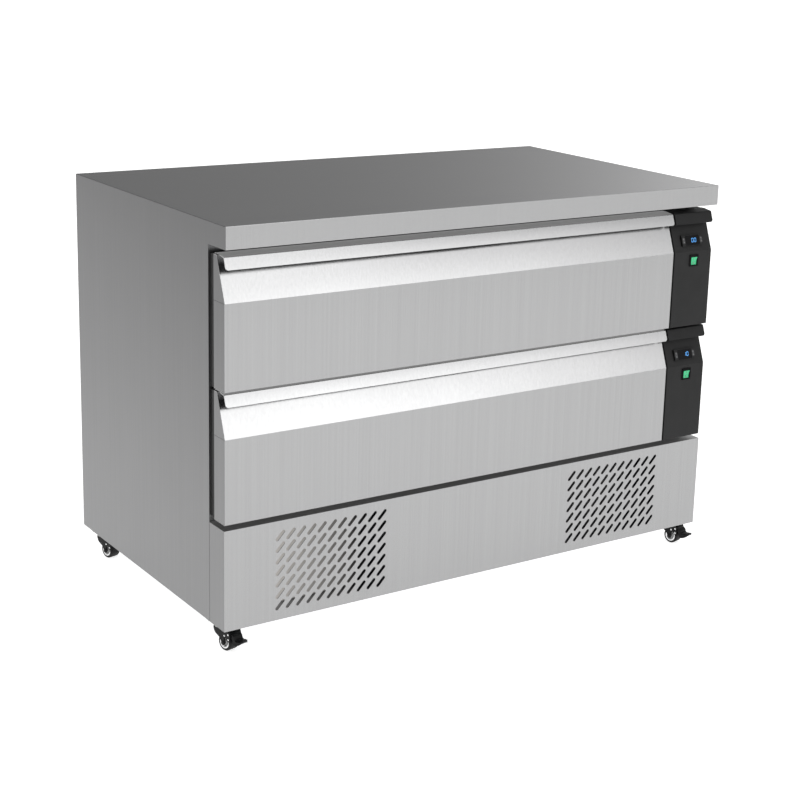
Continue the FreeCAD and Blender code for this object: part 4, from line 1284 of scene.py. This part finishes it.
def finishNodes():
    for name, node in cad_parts.items():
        stems = [s for s in nodeFinish if name.startswith(s)]
        if not stems:
            continue
        node.data.materials.clear()
        node.data.materials.append(finish[nodeFinish[max(stems, key=len)]])
        # The base cover's top takes the sill copy with painted light, and its ends take the side copy with
        # painted shade.
        if name == "base_cover":
            finishFaces(node.data, {"up": finish["steelSillPaintedLight"], "side": finish["steelSidePaintedShade"]})


finishNodes()
print("carried-over nodes finished")


# Floor, surround and lights

stageFacts = {
    "floorSize": 200.0,
    "floorTone": (0.80, 0.80, 0.80),
    "floorRough": 0.9,
    "floorSpecular": 0.1,
    "floorGlow": 0.80,
    "worldBase": 0.24,
    "lobes": [  # direction, sharpness, brightness
        ((0.477, -0.834, 0.270), 34.0, 3.75),
        ((0.865, 0.46, 0.20), 32.0, 2.2),
        ((0.0, 0.0, 1.0), 4.0, 0.9),
        ((-0.35, 0.92, 0.1), 4.0, -0.14),
    ],
    "lights": {
        "key": {"place": (0.6, -3.0, 3.6), "aim": (0.0, -1.0, 0.0), "size": 2.6, "power": 25.0},
        "fill": {"place": (-2.4, 0.2, 2.6), "aim": (-1.3, 0.5, 0.0), "size": 1.6, "power": 12.0},
    },
}


def makeFloor():
    half = stageFacts["floorSize"] / 2
    points = [(-half, -half, 0), (half, -half, 0), (half, half, 0), (-half, half, 0)]
    mesh = bpy.data.meshes.new("floor")
    mesh.from_pydata(points, [], [(0, 1, 2, 3)])
    floor = bpy.data.objects.new("floor", mesh)
    scene.collection.objects.link(floor)
    material, nodes, links, shader = newMaterial("floorPaint")
    shader.inputs["Base Color"].default_value = (*stageFacts["floorTone"], 1)
    shader.inputs["Roughness"].default_value = stageFacts["floorRough"]
    shader.inputs["Specular IOR Level"].default_value = stageFacts["floorSpecular"]
    setEmission(shader, (1, 1, 1), stageFacts["floorGlow"])
    mesh.materials.append(material)


def makeWorld():
    # An even surround with soft boxes, each a lobe of light about its direction.
    world = bpy.data.worlds.new("studio")
    scene.world = world
    world.use_nodes = True
    nodes, links = world.node_tree.nodes, world.node_tree.links
    back = nodes["Background"]
    place = nodes.new("ShaderNodeTexCoord")
    total = stageFacts["worldBase"]
    for direction, sharpness, strength in stageFacts["lobes"]:
        dot = nodes.new("ShaderNodeVectorMath")
        dot.operation = "DOT_PRODUCT"
        dot.inputs[1].default_value = Vector(direction).normalized()
        links.new(place.outputs["Generated"], dot.inputs[0])
        facing = calc(nodes, links, "MAXIMUM", dot.outputs["Value"], 0.0)
        lobe = calc(nodes, links, "MULTIPLY", calc(nodes, links, "POWER", facing, sharpness), strength)
        total = calc(nodes, links, "ADD", lobe, total)
    links.new(total, back.inputs["Strength"])
    back.inputs["Color"].default_value = (1, 1, 1, 1)


def makeLight(name, facts):
    data = bpy.data.lights.new(name, "AREA")
    data.shape = "SQUARE"
    data.size = facts["size"]
    data.energy = facts["power"]
    lamp = bpy.data.objects.new(name, data)
    place = Vector(facts["place"])
    aim = Vector(facts["aim"]) - place
    lamp.matrix_world = Matrix.Translation(place) @ aim.to_track_quat("-Z", "Y").to_matrix().to_4x4()
    scene.collection.objects.link(lamp)


makeFloor()
makeWorld()
for name, facts in stageFacts["lights"].items():
    makeLight(name, facts)
scene.view_settings.view_transform = "Standard"
print("stage set")
